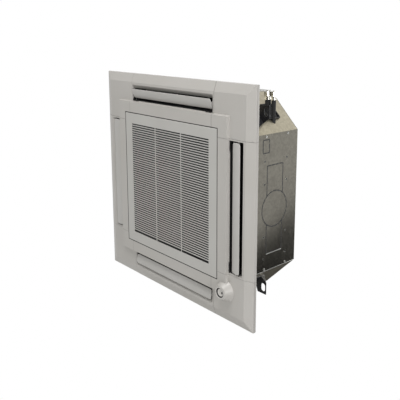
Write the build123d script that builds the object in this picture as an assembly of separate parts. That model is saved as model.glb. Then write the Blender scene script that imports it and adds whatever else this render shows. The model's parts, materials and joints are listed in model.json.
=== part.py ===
from build123d import *
import math
import os

os.makedirs("parts", exist_ok=True)

# Four-way ceiling cassette air conditioner, in millimetres, as it hangs: z is up, the panel faces down,
# and z = 0 is the ceiling's lower face, on which the panel's rim lies. x and y are the panel's two sides.
# Sides are named east (+x), south (+y), west (-x) and north (-y). The refrigerant pipes leave at the
# north-east corner, and the sensor sits on the south-east corner cover.

FIT = 0.3  # clearance between pieces that are clipped or screwed together
RUNNING = 0.05  # radial clearance of a turning pin or shaft
SIDES = {"east": 0, "south": 90, "west": 180, "north": 270}

# Ceiling panel
PANEL = 950.0  # outer square
RIM_H = 14.0  # upright rim
BORDER = 38.0  # width of the sloping border
FACE_Z = -28.0  # flat part that the outlets open in
FRONT_Z = -42.0  # raised surround and grille
SURROUND = 704.0  # outer square of the raised surround
SURROUND_DRAFT = 2.0
SKIN = 3.0  # moulded wall
RIM_LIP = 9.0  # part of the rim that stays on the frame behind the corner covers
COVER_IN = 268.0  # a corner cover starts this far from the middle, along both sides
SHELF_T = 2.5  # shelf that carries a corner cover
SCREW_X = 314.0  # screws that hang the panel on the case
SCREW_Y = 366.0
SCREW_SEAT = -16.5

# Intake grille and filter
GRILLE = 602.0
SEAM = 2.0  # gap round the grille
FIELD = 508.0  # square of the louvres
GRILLE_D = 10.0
GRILLE_WALL = 2.5
HINGE_ROUND = 4.0  # on the edge that turns past the seam
SLATS = 49
SLAT_FRONT = 4.4  # a louvre's thickness at the front
SLAT_BACK = 1.8  # and behind
SLAT_LEAN = 30.0  # degrees
MULLIONS = 2
MULLION_W = 3.6
FILTER_T = 4.0
FILTER_RIM = 9.0
MESH_T = 0.8
HINGE_IN = 3.5  # grille hinge, inward of the grille's edge
HINGE_DEEP = 5.0  # and behind its face
HINGE_R = 1.6
LATCH_X = 180.0
LATCH_W = 28.0
LATCH_T = 3.4

# Outlets and vanes
OUTLET_IN = 356.0  # inner wall of an outlet
OUTLET_W = 70.0
OUTLET_LEAN = 17.0  # how far the duct's outer wall leans out on its way down
OUTLET_HALF = 262.0
DUCT_WALL = 2.5
NOTCH_L = 44.0  # the outlet is wider at its two ends
NOTCH_D = 4.0
GASKET_T = 3.0
VANE_IN = 36.0  # pivot, outward of the outlet's inner wall
VANE_Z = -17.0
VANE_CHORD = 43.0
VANE_SAG = 3.0
VANE_T = 3.0
VANE_DROP = 15.0  # from the pivot to the lowest line of a closed vane
VANE_END = 6.0  # gap at each end of a vane
VANE_PIN_R = 3.0
VANE_TILT = {"east": 9.0, "south": 8.0, "west": 4.0, "north": 22.0}  # as photographed, from closed
DRIVE_W = 24.0
DRIVE_L = 16.0
DRIVE_H = 14.0

# Presence sensor on its corner cover
EYE_X = 338.0
EYE_Y = 342.0
TURRET_R = 24.0
TURRET_WALL = 5.0  # the boss's face round the head
BOSS_FLARE = 16.0  # how much wider the boss is at its foot
BOSS_H = 33.0
TURRET_DISH = 5.0
TURRET_AXLE_R = 4.0
TURRET_SEAT = -17.0  # top of the head's axle
EYE_OFF = 9.0
EYE_R = 3.5

# Case
BODY = 840.0
FLAT_HALF = 275.0  # half of a side's flat length, up to the cut corner
BODY_Z = -8.0
BODY_TOP = 288.0
SHEET = 1.2
LAP = 16.0
LINER_T = 9.0
PAN_Z = 42.0
PAN_WALL = 8.0  # foam between an outlet and the trough
PAN_LIP = 10.0  # foam inside the trough
TROUGH_CLEAR = 6.0  # the trough is this much wider than the coil, on both sides
TROUGH_Z = 26.0
SUMP_DEEP = 12.0
SUMP_WALL = 6.0  # room round the pump in its sump
FLOAT_WALL = 3.0  # and round the float
KNOCK_Y = 25.0  # duct blanks on the east side
KNOCK_Z = 157.0
KNOCK_L = 354.0
KNOCK_H = 90.0
KNOCK_R = 72.0
SMALL_KNOCK_Y = -230.0
SMALL_KNOCK_Z = 103.0
SMALL_KNOCK_L = 50.0
SMALL_KNOCK_H = 34.0
BLANK_GAP = 0.8
BEAD_W = 28.0  # beads pressed in the top plate
BEAD_H = 3.0
BEAD_R = 156.0
BEAD_END = 61.0  # a bead stops this far from the cut corner
SCREW_HEAD = 8.0
LOW_SCREW = 111.0  # case screws, above the case's lower edge
HIGH_SCREW = 60.0  # and below its top

# Hangers
HANG_X = 397.0  # centre of a slot
HANG_Y = 357.0
HANG_Z = 125.0
HANG_T = 3.0
HANG_W = 42.0  # where the flange leaves the wall
HANG_FOOT_W = 86.0  # the wall widens to its foot
HANG_DEEP = 52.0  # from the flange down to the foot
HANG_HEAD_W = 14.0
HANG_HEAD = 35.0  # from the flange up to the wall's head
HANG_EDGE_X = 15.0  # the flange's edges, from the slot's centre
HANG_EDGE_Y = 27.0
HANG_EDGE_IN = 29.0
HANG_RAKE = 0.7  # slope of the flange's raked edge
SLOT_W = 22.0
SLOT_L = 34.0

# Coil
COIL_T = 36.0
COIL_TOP = 268.0
COIL_BEND = 70.0
BEND_R = 9.0
TUBE_R = 3.8
TUBE_ROWS = 8
HEADER_R = 9.0

# Fan and its motor
THROAT_R = 200.0
FLARE_W = 32.0
THROAT_TOP = 60.0  # from the plate to the throat's upper edge
PLATE_T = 2.5
FAN_OVER = 40.0  # the fan is this much wider than the throat, all round
EYE_GAP = 6.0
SHROUD_LAP = 6.0  # the shroud's edge starts this far below the throat's upper edge
SHROUD_RISE = 34.0
SHROUD_T = 2.5
HUB_Z = 200.0
HUB_T = 3.0
HUB_WELL = 31.0  # room between the motor and the hub's cone
HUB_SEAT_R = 38.0
HUB_SEAT_Z = 150.0
HUB_BOSS_R = 14.0
BOSS_L = 14.0
BLADES = 7
BLADE_T = 3.0
BLADE_DEEP = 82.0  # from the fan's edge to a blade's inner end
BLADE_SWEEP = 34.0  # degrees from its inner to its outer end
BLADE_BOW = 12.0
SHAFT_R = 6.0
MOTOR_R = 74.0
MOTOR_Z = 176.0
MOTOR_PADS = 4
PAD_R = 11.0
PAD_H = 12.0

# Control box beside the bell mouth
BOX_W = 50.0
BOX_SEAT = 2.0  # gap to the pan
BOX_HALF = 150.0
BOX_TOP = 36.0
BOX_WALL = 1.5
BOARD_IN = 4.0  # from the tray's sides to the board
BOARD_T = 1.6
BOARD_DROP = 8.0  # from the tray's roof to the board's face
BOARD_END = 20.0  # from the tray's south end
BOARD_L = 190.0
BOARD_FOOT = 2.5
BOARD_FOOT_IN = 8.0
TERMINAL_END = 12.0  # from the tray's north end
TERMINAL_L = 64.0
TERMINAL_H = 18.0
TERMINAL_PITCH = 10.0
TERMINALS = 6

# Drain pump and float, in the pipe corner
PUMP_IN = 72.83  # the pump's axis, inward of the cut corner's face
PUMP_GAP = 2.5  # from the pump to the coil's partition
PUMP_R = 30.0
PUMP_TOP = 150.0
PUMP_MOTOR_R = 26.0
PUMP_MOTOR_H = 42.0
COLUMN_R = 14.0
IMPELLER_R = 21.0
PUMP_SHAFT_R = 3.0
FLOAT_OFF = 46.0  # float's rod, from the pump's axis towards the corner
FLOAT_R = 14.0
FLOAT_H = 16.0
FLOAT_ROD_R = 2.5
FLOAT_ROD_TOP = 96.0
FLOAT_STOP = 4.0
DRAIN_X = 232.0
DRAIN_Z = 170.0
DRAIN_R = 16.0
DRAIN_L = 26.0  # how far the socket stands out of the case
DRAIN_WALL = 3.0

# Refrigerant pipes
PIPE_Z = 186.0
GAS_X = 350.0
GAS_R = 7.94
LIQUID_X = 380.0
LIQUID_R = 4.76
PIPE_WALL = 1.0
PIPE_OUT = 12.0  # how far the pipes reach past the case's side
SLEEVE_T = 4.0
SLEEVE_IN = 12.0  # how far a sleeve reaches into the case
PLATE_LOW = 24.0  # the dark plate round the pipes, below their axes
PLATE_HIGH = 40.0  # and above them
PLATE_NORTH = 34.0
PLATE_SOUTH = 40.0
PLATE_DEEP = 9.0
PLATE_RIM = 3.0
PLATE_BACK = 2.0
NUT_L = 34.0
NUT_IN = 2.0  # from the pipe's end to the nut
GAS_NUT = 29.0  # across flats
LIQUID_NUT = 22.0

FRONT_HALF = GRILLE / 2
WELL_HALF = FRONT_HALF + SEAM
DUCT_TOP = BODY_Z - GASKET_T
CORNER_SUM = BODY / 2 + FLAT_HALF  # x + y on a cut corner's face
SLOPE = (-FACE_Z - RIM_H) / BORDER
GRILLE_BACK = FRONT_Z + GRILLE_D
FILTER_BACK = GRILLE_BACK + FILTER_T
HINGE_Y = -(FRONT_HALF - HINGE_IN)
HINGE_Z = FRONT_Z + HINGE_DEEP
OUTLET_OUT = OUTLET_IN + OUTLET_W
OUTLET_TOP_OUT = OUTLET_OUT - OUTLET_LEAN
VANE_X = OUTLET_IN + VANE_IN
VANE_HALF = OUTLET_HALF - VANE_END
BOSS_FACE_Z = FACE_Z - BOSS_H
BOSS_FACE_R = TURRET_R + TURRET_WALL
BOSS_R = BOSS_FACE_R + BOSS_FLARE
TROUGH_OUT = OUTLET_IN - PAN_WALL
COIL_HALF = TROUGH_OUT - TROUGH_CLEAR
COIL_IN = COIL_HALF - COIL_T
PUMP_D = CORNER_SUM / math.sqrt(2) - PUMP_IN  # the pump's axis, from the fan's
COIL_GAP = math.sqrt(2) * (PUMP_D - PUMP_R - PUMP_GAP) - COIL_IN  # the coil ends here beside the pipe corner
TROUGH_IN = COIL_IN - TROUGH_CLEAR
PAN_HOLE = TROUGH_IN - PAN_LIP
HEADER_Y = -(COIL_GAP + HEADER_R + FIT)
FLARE_R = THROAT_R + FLARE_W
THROAT_Z = BODY_Z + THROAT_TOP
FAN_R = THROAT_R + FAN_OVER
SHROUD_Z = THROAT_Z - SHROUD_LAP
SHROUD_TOP = SHROUD_Z + SHROUD_RISE
BLADE_IN = FAN_R - BLADE_DEEP
HUB_WELL_R = MOTOR_R + HUB_WELL
BOX_OUT = PAN_HOLE - BOX_SEAT
BOX_IN = BOX_OUT - BOX_W
PIPE_END = BODY / 2 + PIPE_OUT
NUT_START = NUT_IN - PIPE_END
PUMP_X = PUMP_D / math.sqrt(2)
PUMP_Y = -PUMP_X
SUMP_Z = TROUGH_Z - SUMP_DEEP
CORNERS = [(1, 1), (-1, 1), (-1, -1), (1, -1)]


def block(x0, x1, y0, y1, z0, z1):
    """A box between two corners."""
    return Pos((x0 + x1) / 2, (y0 + y1) / 2, (z0 + z1) / 2) * Box(abs(x1 - x0), abs(y1 - y0), abs(z1 - z0))


def prism(half_out, half_in, z0, z1):
    """A square tube between two heights."""
    return block(-half_out, half_out, -half_out, half_out, z0, z1) - block(
        -half_in, half_in, -half_in, half_in, z0, z1
    )


def post(x, y, z0, z1, r):
    """An upright cylinder between two heights."""
    return Pos(x, y, (z0 + z1) / 2) * Cylinder(r, z1 - z0)


def rod_x(x0, x1, y, z, r):
    """A cylinder along x."""
    return Pos((x0 + x1) / 2, y, z) * Rot(0, 90, 0) * Cylinder(r, abs(x1 - x0))


def rod_y(x, y0, y1, z, r):
    """A cylinder along y."""
    return Pos(x, (y0 + y1) / 2, z) * Rot(90, 0, 0) * Cylinder(r, abs(y1 - y0))


def upright(points, z0, z1):
    """A closed plan outline raised between two heights."""
    return Pos(0, 0, z0) * extrude(make_face(Polyline(*points, close=True)), z1 - z0)


def octagon(half, flat, z0, z1):
    """The case's plan: a square whose corners are cut at 45 degrees."""
    points = [(half, -flat), (half, flat), (flat, half), (-flat, half)]
    points += [(-half, flat), (-half, -flat), (-flat, -half), (flat, -half)]
    return upright(points, z0, z1)


def turned(shape, side):
    """A shape built for the east side, on the named side."""
    return Rot(0, 0, SIDES[side]) * shape


def tapered(x0, x1, y, z0, x2, x3, y2, z1):
    """A solid between a lower and an upper rectangle, each centred on y = 0."""
    low = Pos((x0 + x1) / 2, 0, z0) * Rectangle(x1 - x0, 2 * y)
    high = Pos((x2 + x3) / 2, 0, z1) * Rectangle(x3 - x2, 2 * y2)
    return loft([low, high])


def pyramid(low, z0, high, z1):
    """A square solid between two heights, with half its side at each."""
    return loft([Pos(0, 0, z0) * Rectangle(2 * low, 2 * low), Pos(0, 0, z1) * Rectangle(2 * high, 2 * high)])


def revolved(points):
    """A profile of (radius, height) points turned about the fan's axis."""
    return revolve(make_face(Polyline(*[(r, 0, z) for r, z in points], close=True)), Axis.Z)


# ---------------------------------------------------------------- ceiling panel


def panel_volume(inset):
    """The panel's outer form, or with an inset the hollow behind its skin."""
    half = PANEL / 2 - inset
    rise = inset * math.hypot(1, SLOPE)
    knee = -RIM_H - SLOPE * inset + rise
    flat_z = FACE_Z + inset
    flat_half = PANEL / 2 - (-flat_z + knee) / SLOPE - inset
    rim = block(-half, half, -half, half, knee, 0)
    border = pyramid(flat_half, flat_z, half, knee)
    front = SURROUND / 2 - inset
    return rim + border + pyramid(front, FRONT_Z + inset, front + SURROUND_DRAFT, flat_z)


def outlet_duct(grow):
    """One outlet's passage, wider at the face than at the case."""
    inner = OUTLET_IN - grow
    y = OUTLET_HALF + grow
    return tapered(inner, OUTLET_OUT + grow, y, FACE_Z, inner, OUTLET_TOP_OUT + grow, y, DUCT_TOP)


def outlet_cut():
    """Everything removed for one outlet: the passage, its mouth and the two wider ends."""
    mouth = block(OUTLET_IN, OUTLET_OUT, -OUTLET_HALF, OUTLET_HALF, FACE_Z - 1, FACE_Z)
    cut = outlet_duct(0) + mouth
    for s in (-1, 1):
        end = s * OUTLET_HALF
        cut += block(OUTLET_IN - NOTCH_D, OUTLET_IN + 1, end, end - s * NOTCH_L, FACE_Z - 1, FACE_Z + SKIN + 6)
    return cut


def latch_window(side):
    return block(
        side * LATCH_X - LATCH_W / 2 - FIT, side * LATCH_X + LATCH_W / 2 + FIT,
        WELL_HALF - 1, WELL_HALF + SKIN + 1,
        GRILLE_BACK - 0.2, GRILLE_BACK + LATCH_T + 2.1,
    )


def corner_zone(start, z0, z1):
    """The square of one corner cover, on the south-east corner."""
    return block(start, PANEL, start, PANEL, z0, z1)


def cover_shelf():
    """The shelf under a corner cover, with the step that joins it to the frame's skin."""
    inner = COVER_IN - 5
    outer = PANEL / 2 - BORDER - 4
    z0 = FACE_Z + SKIN + FIT
    shelf = block(inner, outer, inner, outer, z0, z0 + SHELF_T)
    step = block(inner, COVER_IN - 1, inner, outer, FACE_Z + SKIN - 0.5, z0 + 1)
    step += block(inner, outer, inner, COVER_IN - 1, FACE_Z + SKIN - 0.5, z0 + 1)
    a = outer - 30
    b = PANEL / 2 - SKIN + 0.5
    web = upright([(a, a + 4), (a + 4, a), (outer, outer - 4), (outer - 4, outer)], z0, -1)
    web += upright([(a, a + 4), (a + 4, a), (b, b - 4), (b - 4, b)], -RIM_LIP + FIT, -1)
    return shelf + step + web - block(0, WELL_HALF, 0, WELL_HALF, FRONT_Z, 0)


def screw_boss(sx, sy):
    """A counterbored boss that seats on the case, for one of the panel's screws."""
    return post(sx * SCREW_X, sy * SCREW_Y, FACE_Z + SKIN + FIT, BODY_Z, 9)


def screw_bore(sx, sy):
    x = sx * SCREW_X
    y = sy * SCREW_Y
    return post(x, y, FRONT_Z, SCREW_SEAT, 7) + post(x, y, FRONT_Z, BODY_Z + 1, 3.5)


def drive_room(side):
    """Where a vane drive passes the shelf."""
    half = DRIVE_W / 2 + FIT
    y = OUTLET_HALF + DUCT_WALL
    room = block(VANE_X - half, VANE_X + half, y, y + DRIVE_L + 2 * FIT, FACE_Z + SKIN - 0.1, DUCT_TOP + 4)
    return turned(room, side)


def panel_frame():
    """The moulded frame: skin, intake well, four ducts, and shelves for the corner covers."""
    frame = panel_volume(0) - panel_volume(SKIN)
    frame -= block(-WELL_HALF, WELL_HALF, -WELL_HALF, WELL_HALF, FRONT_Z - 1, 0)
    for side in SIDES:
        frame += turned(outlet_duct(DUCT_WALL), side)
    well = prism(WELL_HALF + SKIN, WELL_HALF, FRONT_Z + SKIN + FIT, DUCT_TOP)
    lip = block(WELL_HALF, WELL_HALF + SKIN, -COVER_IN, COVER_IN, FRONT_Z + 1, FRONT_Z + SKIN + 1)
    for side in SIDES:
        frame += turned(lip, side)
        frame -= turned(corner_zone(COVER_IN, FRONT_Z - 1, -RIM_LIP), side)
    frame += well
    for side in SIDES:
        frame += turned(cover_shelf(), side)
    for side in SIDES:
        frame -= turned(outlet_cut(), side)
        pins = rod_y(VANE_X, -OUTLET_HALF - 6, OUTLET_HALF + 6, VANE_Z, VANE_PIN_R + RUNNING)
        frame -= turned(pins, side) + drive_room(side)
    frame -= latch_window(-1) + latch_window(1)
    frame -= rod_x(-WELL_HALF - 4, WELL_HALF + 4, HINGE_Y, HINGE_Z, HINGE_R + RUNNING)
    frame -= post(EYE_X, EYE_Y, FRONT_Z, -1, TURRET_R + 3)
    for sx, sy in CORNERS:
        frame += screw_boss(sx, sy)
    for sx, sy in CORNERS:
        frame -= screw_bore(sx, sy)
    return frame


def corner_cover():
    """One moulded corner cover, on the south-east corner: part of the same skin as the frame."""
    skin = panel_volume(0) - panel_volume(SKIN)
    cover = skin & corner_zone(COVER_IN + FIT, FRONT_Z - 1, -RIM_LIP - FIT)
    return cover - block(0, WELL_HALF, 0, WELL_HALF, FRONT_Z - 1, 0)


def sensor_cover():
    """The corner cover that carries the sensor's conical boss."""
    face_z = BOSS_FACE_Z
    boss = revolved(
        [
            (TURRET_R + FIT, FACE_Z + 1), (TURRET_R + FIT, face_z), (BOSS_FACE_R - 1.5, face_z),
            (BOSS_FACE_R, face_z + 1.5), (BOSS_R - 4, FACE_Z - 6), (BOSS_R, FACE_Z + 1),
        ]
    )
    hole = post(EYE_X, EYE_Y, face_z - 1, FACE_Z + SKIN + 1, TURRET_R + FIT)
    return corner_cover() + Pos(EYE_X, EYE_Y, 0) * boss - hole


def sensor_turret():
    """The turning head: a dished face on a short axle."""
    face_z = BOSS_FACE_Z
    head_z = face_z + 16
    top = TURRET_SEAT - 1
    profile = [
        (0, face_z + TURRET_DISH - 2), (4, face_z + TURRET_DISH), (TURRET_R - 7, face_z + TURRET_DISH),
        (TURRET_R - 4, face_z), (TURRET_R, face_z), (TURRET_R, head_z - 2), (TURRET_R - 6, head_z),
        (TURRET_AXLE_R, head_z), (TURRET_AXLE_R, top), (0, top),
    ]
    window = Pos(EYE_OFF, 0, face_z) * Cylinder(EYE_R + RUNNING, 14)
    return Pos(EYE_X, EYE_Y, 0) * (revolved(profile) - window)


def sensor_eye():
    """The dark lens in the head."""
    lens = Pos(EYE_OFF, 0, BOSS_FACE_Z + TURRET_DISH) * Cylinder(EYE_R, 4)
    return Pos(EYE_X, EYE_Y, 0) * lens


def sensor_drive():
    """The small motor behind the cover that turns the head."""
    top = TURRET_SEAT + 5
    drive = post(EYE_X, EYE_Y, top - 14, top, 14)
    drive -= post(EYE_X, EYE_Y, top - 15, TURRET_SEAT, TURRET_AXLE_R + RUNNING)
    ears = block(EYE_X - TURRET_R - 10, EYE_X + TURRET_R + 10, EYE_Y - 4, EYE_Y + 4, top - 2, top)
    return drive + ears


# ---------------------------------------------------------------- grille and filter


def slat(y):
    """One leaning louvre, right across the field, broad at the front and thin behind."""
    lean = math.tan(math.radians(SLAT_LEAN)) * (GRILLE_D - 1)
    f, b = SLAT_FRONT / 2, SLAT_BACK / 2
    z0 = FRONT_Z
    z1 = GRILLE_BACK - 1
    outline = [(-f, z0), (f, z0), (f, z0 + 1), (lean + b, z1), (lean - b, z1), (-f, z0 + 1)]
    face = make_face(Polyline(*[(0, y - lean / 2 + a, b) for a, b in outline], close=True))
    return Pos(-FIELD / 2 - 1, 0, 0) * extrude(face, FIELD + 2, dir=(1, 0, 0))


def latch_seat(s):
    """Two rails behind the grille's frame that guide a latch."""
    x = s * LATCH_X
    y0 = FRONT_HALF - 26
    y1 = FRONT_HALF - 2
    half = LATCH_W / 2 + FIT
    room = LATCH_T + 2 * FIT
    seat = block(x - half - 5, x + half + 5, y0, y1, FRONT_Z + 2, GRILLE_BACK + room + 1.5)
    seat -= block(x - half, x + half, y0, y1, GRILLE_BACK, GRILLE_BACK + room)
    return seat - block(x - half + 3, x + half - 3, y0, y1, GRILLE_BACK + room - 1, GRILLE_BACK + room + 2)


def intake_grille():
    """The hinged grille: frame, leaning louvres, two mullions, hinge pins and latch seats."""
    grille = prism(FRONT_HALF, FIELD / 2, FRONT_Z, GRILLE_BACK)
    edge = grille.edges().filter_by(Axis.X).group_by(Axis.Z)[0].sort_by(Axis.Y)[0]
    grille = fillet(edge, HINGE_ROUND)
    hollow_z = FRONT_Z + GRILLE_WALL + 0.5
    grille -= prism(FRONT_HALF - GRILLE_WALL, FIELD / 2 + GRILLE_WALL, hollow_z, GRILLE_BACK)
    pitch = FIELD / (SLATS + 1)
    bars = [slat(-FIELD / 2 + pitch * (i + 1)) for i in range(SLATS)]
    for i in range(MULLIONS):
        x = FIELD * ((i + 1) / (MULLIONS + 1) - 0.5)
        half = MULLION_W / 2
        bars.append(block(x - half, x + half, -FIELD / 2 - 1, FIELD / 2 + 1, FRONT_Z, GRILLE_BACK))
    grille = grille + bars
    reach = WELL_HALF + SKIN - 0.5
    pins = [rod_x(s * (FRONT_HALF - 6), s * reach, HINGE_Y, HINGE_Z, HINGE_R) for s in (-1, 1)]
    return grille + pins + latch_seat(-1) + latch_seat(1)


def grille_latch(s):
    """A sliding bolt that reaches into the well's wall."""
    x = s * LATCH_X
    z0 = GRILLE_BACK + FIT
    bolt = block(x - LATCH_W / 2, x + LATCH_W / 2, FRONT_HALF - 26, WELL_HALF + SKIN - 0.5, z0, z0 + LATCH_T)
    grip = block(x - 8, x + 8, FRONT_HALF - 24, FRONT_HALF - 18, z0 + LATCH_T - 0.4, z0 + LATCH_T + 5.6)
    bevel = Pos(x, WELL_HALF + SKIN - 0.5, z0) * Rot(45, 0, 0) * Box(LATCH_W + 2, 3, 3)
    return bolt + grip - bevel


def filter_frame():
    """The filter's frame with its cross ribs."""
    half = FIELD / 2 + FILTER_RIM
    z0 = GRILLE_BACK
    frame = prism(half, FIELD / 2 - 2, z0, z0 + FILTER_T)
    ribs = []
    for i in range(1, 6):
        at = -FIELD / 2 + FIELD * i / 6
        ribs.append(block(at - 1.5, at + 1.5, -FIELD / 2, FIELD / 2, z0, z0 + FILTER_T - MESH_T))
        ribs.append(block(-FIELD / 2, FIELD / 2, at - 1.5, at + 1.5, z0, z0 + FILTER_T - MESH_T))
    return frame + ribs


def filter_mesh():
    """The net, held in the filter's frame on its ribs."""
    half = FIELD / 2 - 2
    return block(-half, half, -half, half, FILTER_BACK - MESH_T, FILTER_BACK)


# ---------------------------------------------------------------- outlets and vanes


def vane_section():
    """A closed vane's section: a shallow arc whose edges turn up."""
    c = VANE_CHORD / 2
    low = VANE_Z - VANE_DROP
    tip = low + VANE_SAG
    d = c - VANE_T / 2
    outer = ThreePointArc((VANE_X - c, 0, tip), (VANE_X, 0, low), (VANE_X + c, 0, tip))
    top = tip + VANE_T
    inner = ThreePointArc((VANE_X + d, 0, top), (VANE_X, 0, low + VANE_T), (VANE_X - d, 0, top))
    ends = [Line(outer @ 1, inner @ 0), Line(inner @ 1, outer @ 0)]
    return make_face([outer, ends[0], inner, ends[1]])


def vane(side):
    """An air vane with an arm and a pin at each end, at its photographed angle."""
    blade = Pos(0, VANE_HALF, 0) * extrude(vane_section(), 2 * VANE_HALF, dir=(0, -1, 0))
    low = VANE_Z - VANE_DROP + 1
    pieces = []
    for s in (-1, 1):
        a = s * (VANE_HALF - 4)
        b = s * VANE_HALF
        pieces.append(block(VANE_X - 6, VANE_X + 6, a, b, low, VANE_Z))
        pieces.append(rod_y(VANE_X, a, b, VANE_Z, 6))
        pieces.append(rod_y(VANE_X, b, s * (OUTLET_HALF + DUCT_WALL + 4), VANE_Z, VANE_PIN_R))
    pivot = Axis((VANE_X, 0, VANE_Z), (0, 1, 0))
    return turned((blade + pieces).rotate(pivot, VANE_TILT[side]), side)


def vane_drives():
    """The four small motors, one at the end of each vane."""
    y0 = OUTLET_HALF + DUCT_WALL + FIT
    x0, x1 = VANE_X - DRIVE_W / 2, VANE_X + DRIVE_W / 2
    case = block(x0, x1, y0, y0 + DRIVE_L, VANE_Z - DRIVE_H / 2, VANE_Z + DRIVE_H / 2)
    ear = block(x0, x1, y0 + DRIVE_L - 2, y0 + DRIVE_L + 10, VANE_Z - 4.9, VANE_Z - 3)
    case = case + ear - rod_y(VANE_X, y0 - 1, y0 + 8, VANE_Z, VANE_PIN_R + RUNNING)
    return Compound([turned(case, side) for side in SIDES])


def duct_gaskets():
    """Foam between each outlet duct and the case."""
    w = DUCT_WALL
    ring = block(OUTLET_IN - w, OUTLET_TOP_OUT + w, -OUTLET_HALF - w, OUTLET_HALF + w, DUCT_TOP, BODY_Z)
    ring -= block(OUTLET_IN, OUTLET_TOP_OUT, -OUTLET_HALF, OUTLET_HALF, DUCT_TOP, BODY_Z)
    return Compound([turned(ring, side) for side in SIDES])


def intake_gasket():
    """Foam between the intake well and the drain pan."""
    return prism(WELL_HALF + SKIN, WELL_HALF, DUCT_TOP, BODY_Z)


# ---------------------------------------------------------------- case


def large_blank(g):
    """The large duct blank, a rectangle and a circle that share a centre, grown by g all round."""
    x0 = BODY / 2 - SHEET
    x1 = BODY / 2
    y = KNOCK_L / 2 + g
    z = KNOCK_H / 2 + g
    slab = block(x0, x1, KNOCK_Y - y, KNOCK_Y + y, KNOCK_Z - z, KNOCK_Z + z)
    return slab + rod_x(x0, x1, KNOCK_Y, KNOCK_Z, KNOCK_R + g)


def small_blank(g):
    y = SMALL_KNOCK_L / 2 + g
    z = SMALL_KNOCK_H / 2 + g
    at = (SMALL_KNOCK_Y, SMALL_KNOCK_Z)
    return block(BODY / 2 - SHEET, BODY / 2, at[0] - y, at[0] + y, at[1] - z, at[1] + z)


def case_side(side):
    """A flat side sheet with a flange turned in under the top plate."""
    x = BODY / 2
    sheet = block(x - SHEET, x, -FLAT_HALF - 1, FLAT_HALF + 1, BODY_Z, BODY_TOP - SHEET)
    flange = block(x - 14, x, -FLAT_HALF + 20, FLAT_HALF - 20, BODY_TOP - 2 * SHEET, BODY_TOP - SHEET)
    panel = sheet + flange
    if side == "east":
        panel -= large_blank(BLANK_GAP) + small_blank(BLANK_GAP)
    panel = turned(panel, side)
    return panel - drain_hole() if side == "north" else panel


def drain_hole():
    """The round hole that the drain socket passes, through the north side and its foam."""
    return rod_y(DRAIN_X, -BODY / 2 - 1, -BODY / 2 + 30, DRAIN_Z, DRAIN_R + RUNNING)


def case_sides():
    return Compound([case_side(side) for side in SIDES])


def case_corners():
    """Four corner sheets, each lapped behind two side sheets."""
    m = BODY / 2 - 1.5 * SHEET
    path = Polyline((m, FLAT_HALF - LAP), (m, FLAT_HALF), (FLAT_HALF, m), (FLAT_HALF - LAP, m))
    sheet = Pos(0, 0, BODY_Z) * extrude(trace(path, SHEET), BODY_TOP - SHEET - BODY_Z)
    corners = {side: turned(sheet, side) for side in SIDES}
    for x, r in ((GAS_X, GAS_R), (LIQUID_X, LIQUID_R)):
        corners["north"] -= rod_y(x, -BODY / 2, -BODY / 4, PIPE_Z, r + SLEEVE_T)
    return Compound(list(corners.values()))


def top_plate():
    """The top sheet with two crossed beads and a round one over the motor."""
    plate = octagon(BODY / 2, FLAT_HALF, BODY_TOP - SHEET, BODY_TOP)
    reach = CORNER_SUM / math.sqrt(2) - BEAD_END
    z0 = BODY_TOP - SHEET / 2
    z1 = BODY_TOP + BEAD_H
    for turn in (45, 135):
        plate += Rot(0, 0, turn) * block(-reach, reach, -BEAD_W / 2, BEAD_W / 2, z0, z1)
    return plate + post(0, 0, z0, z1, BEAD_R + BEAD_W / 2) - post(0, 0, BODY_TOP, z1, BEAD_R - BEAD_W / 2)


def knockout_large():
    """The large duct blank in three pieces, as it is scored."""
    g = BLANK_GAP
    whole = large_blank(0)
    x0 = BODY / 2 - SHEET - 1
    x1 = BODY / 2 + 1
    disc = whole & rod_x(x0, x1, KNOCK_Y, KNOCK_Z, KNOCK_R)
    rest = whole - rod_x(x0, x1, KNOCK_Y, KNOCK_Z, KNOCK_R + g)
    return Compound([disc] + list(rest.solids()))


def knockout_small():
    return small_blank(0)


def case_liner():
    """Foam slabs inside the sides and the cut corners."""
    out = BODY / 2 - 2 * SHEET
    z0 = PAN_Z
    z1 = BODY_TOP - 2 * SHEET
    side = block(out - LINER_T, out, -FLAT_HALF + LAP + 8, FLAT_HALF - LAP - 8, z0, z1)
    half = (BODY / 2 - FLAT_HALF) / math.sqrt(2) - 8
    reach = CORNER_SUM / math.sqrt(2) - 3 * SHEET
    corner = Rot(0, 0, 45) * block(reach - LINER_T, reach, -half, half, z0, z1)
    slabs = [turned(side, s) - drain_hole() for s in SIDES]
    for s in SIDES:
        slab = turned(corner, s)
        if s == "north":
            for x, r in ((GAS_X, GAS_R), (LIQUID_X, LIQUID_R)):
                slab -= rod_y(x, -BODY / 2, -BODY / 4, PIPE_Z, r + SLEEVE_T)
        slabs.append(slab)
    return Compound(slabs)


def sump():
    """The deep end of the pan: a round pocket for the pump, open to a smaller one for the float."""
    r = FLOAT_R + FLOAT_WALL
    pocket = post(0, 0, SUMP_Z, PAN_Z, PUMP_R + SUMP_WALL) + post(FLOAT_OFF, 0, SUMP_Z, PAN_Z, r)
    return pocket + block(0, FLOAT_OFF, -r, r, SUMP_Z, PAN_Z)


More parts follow.
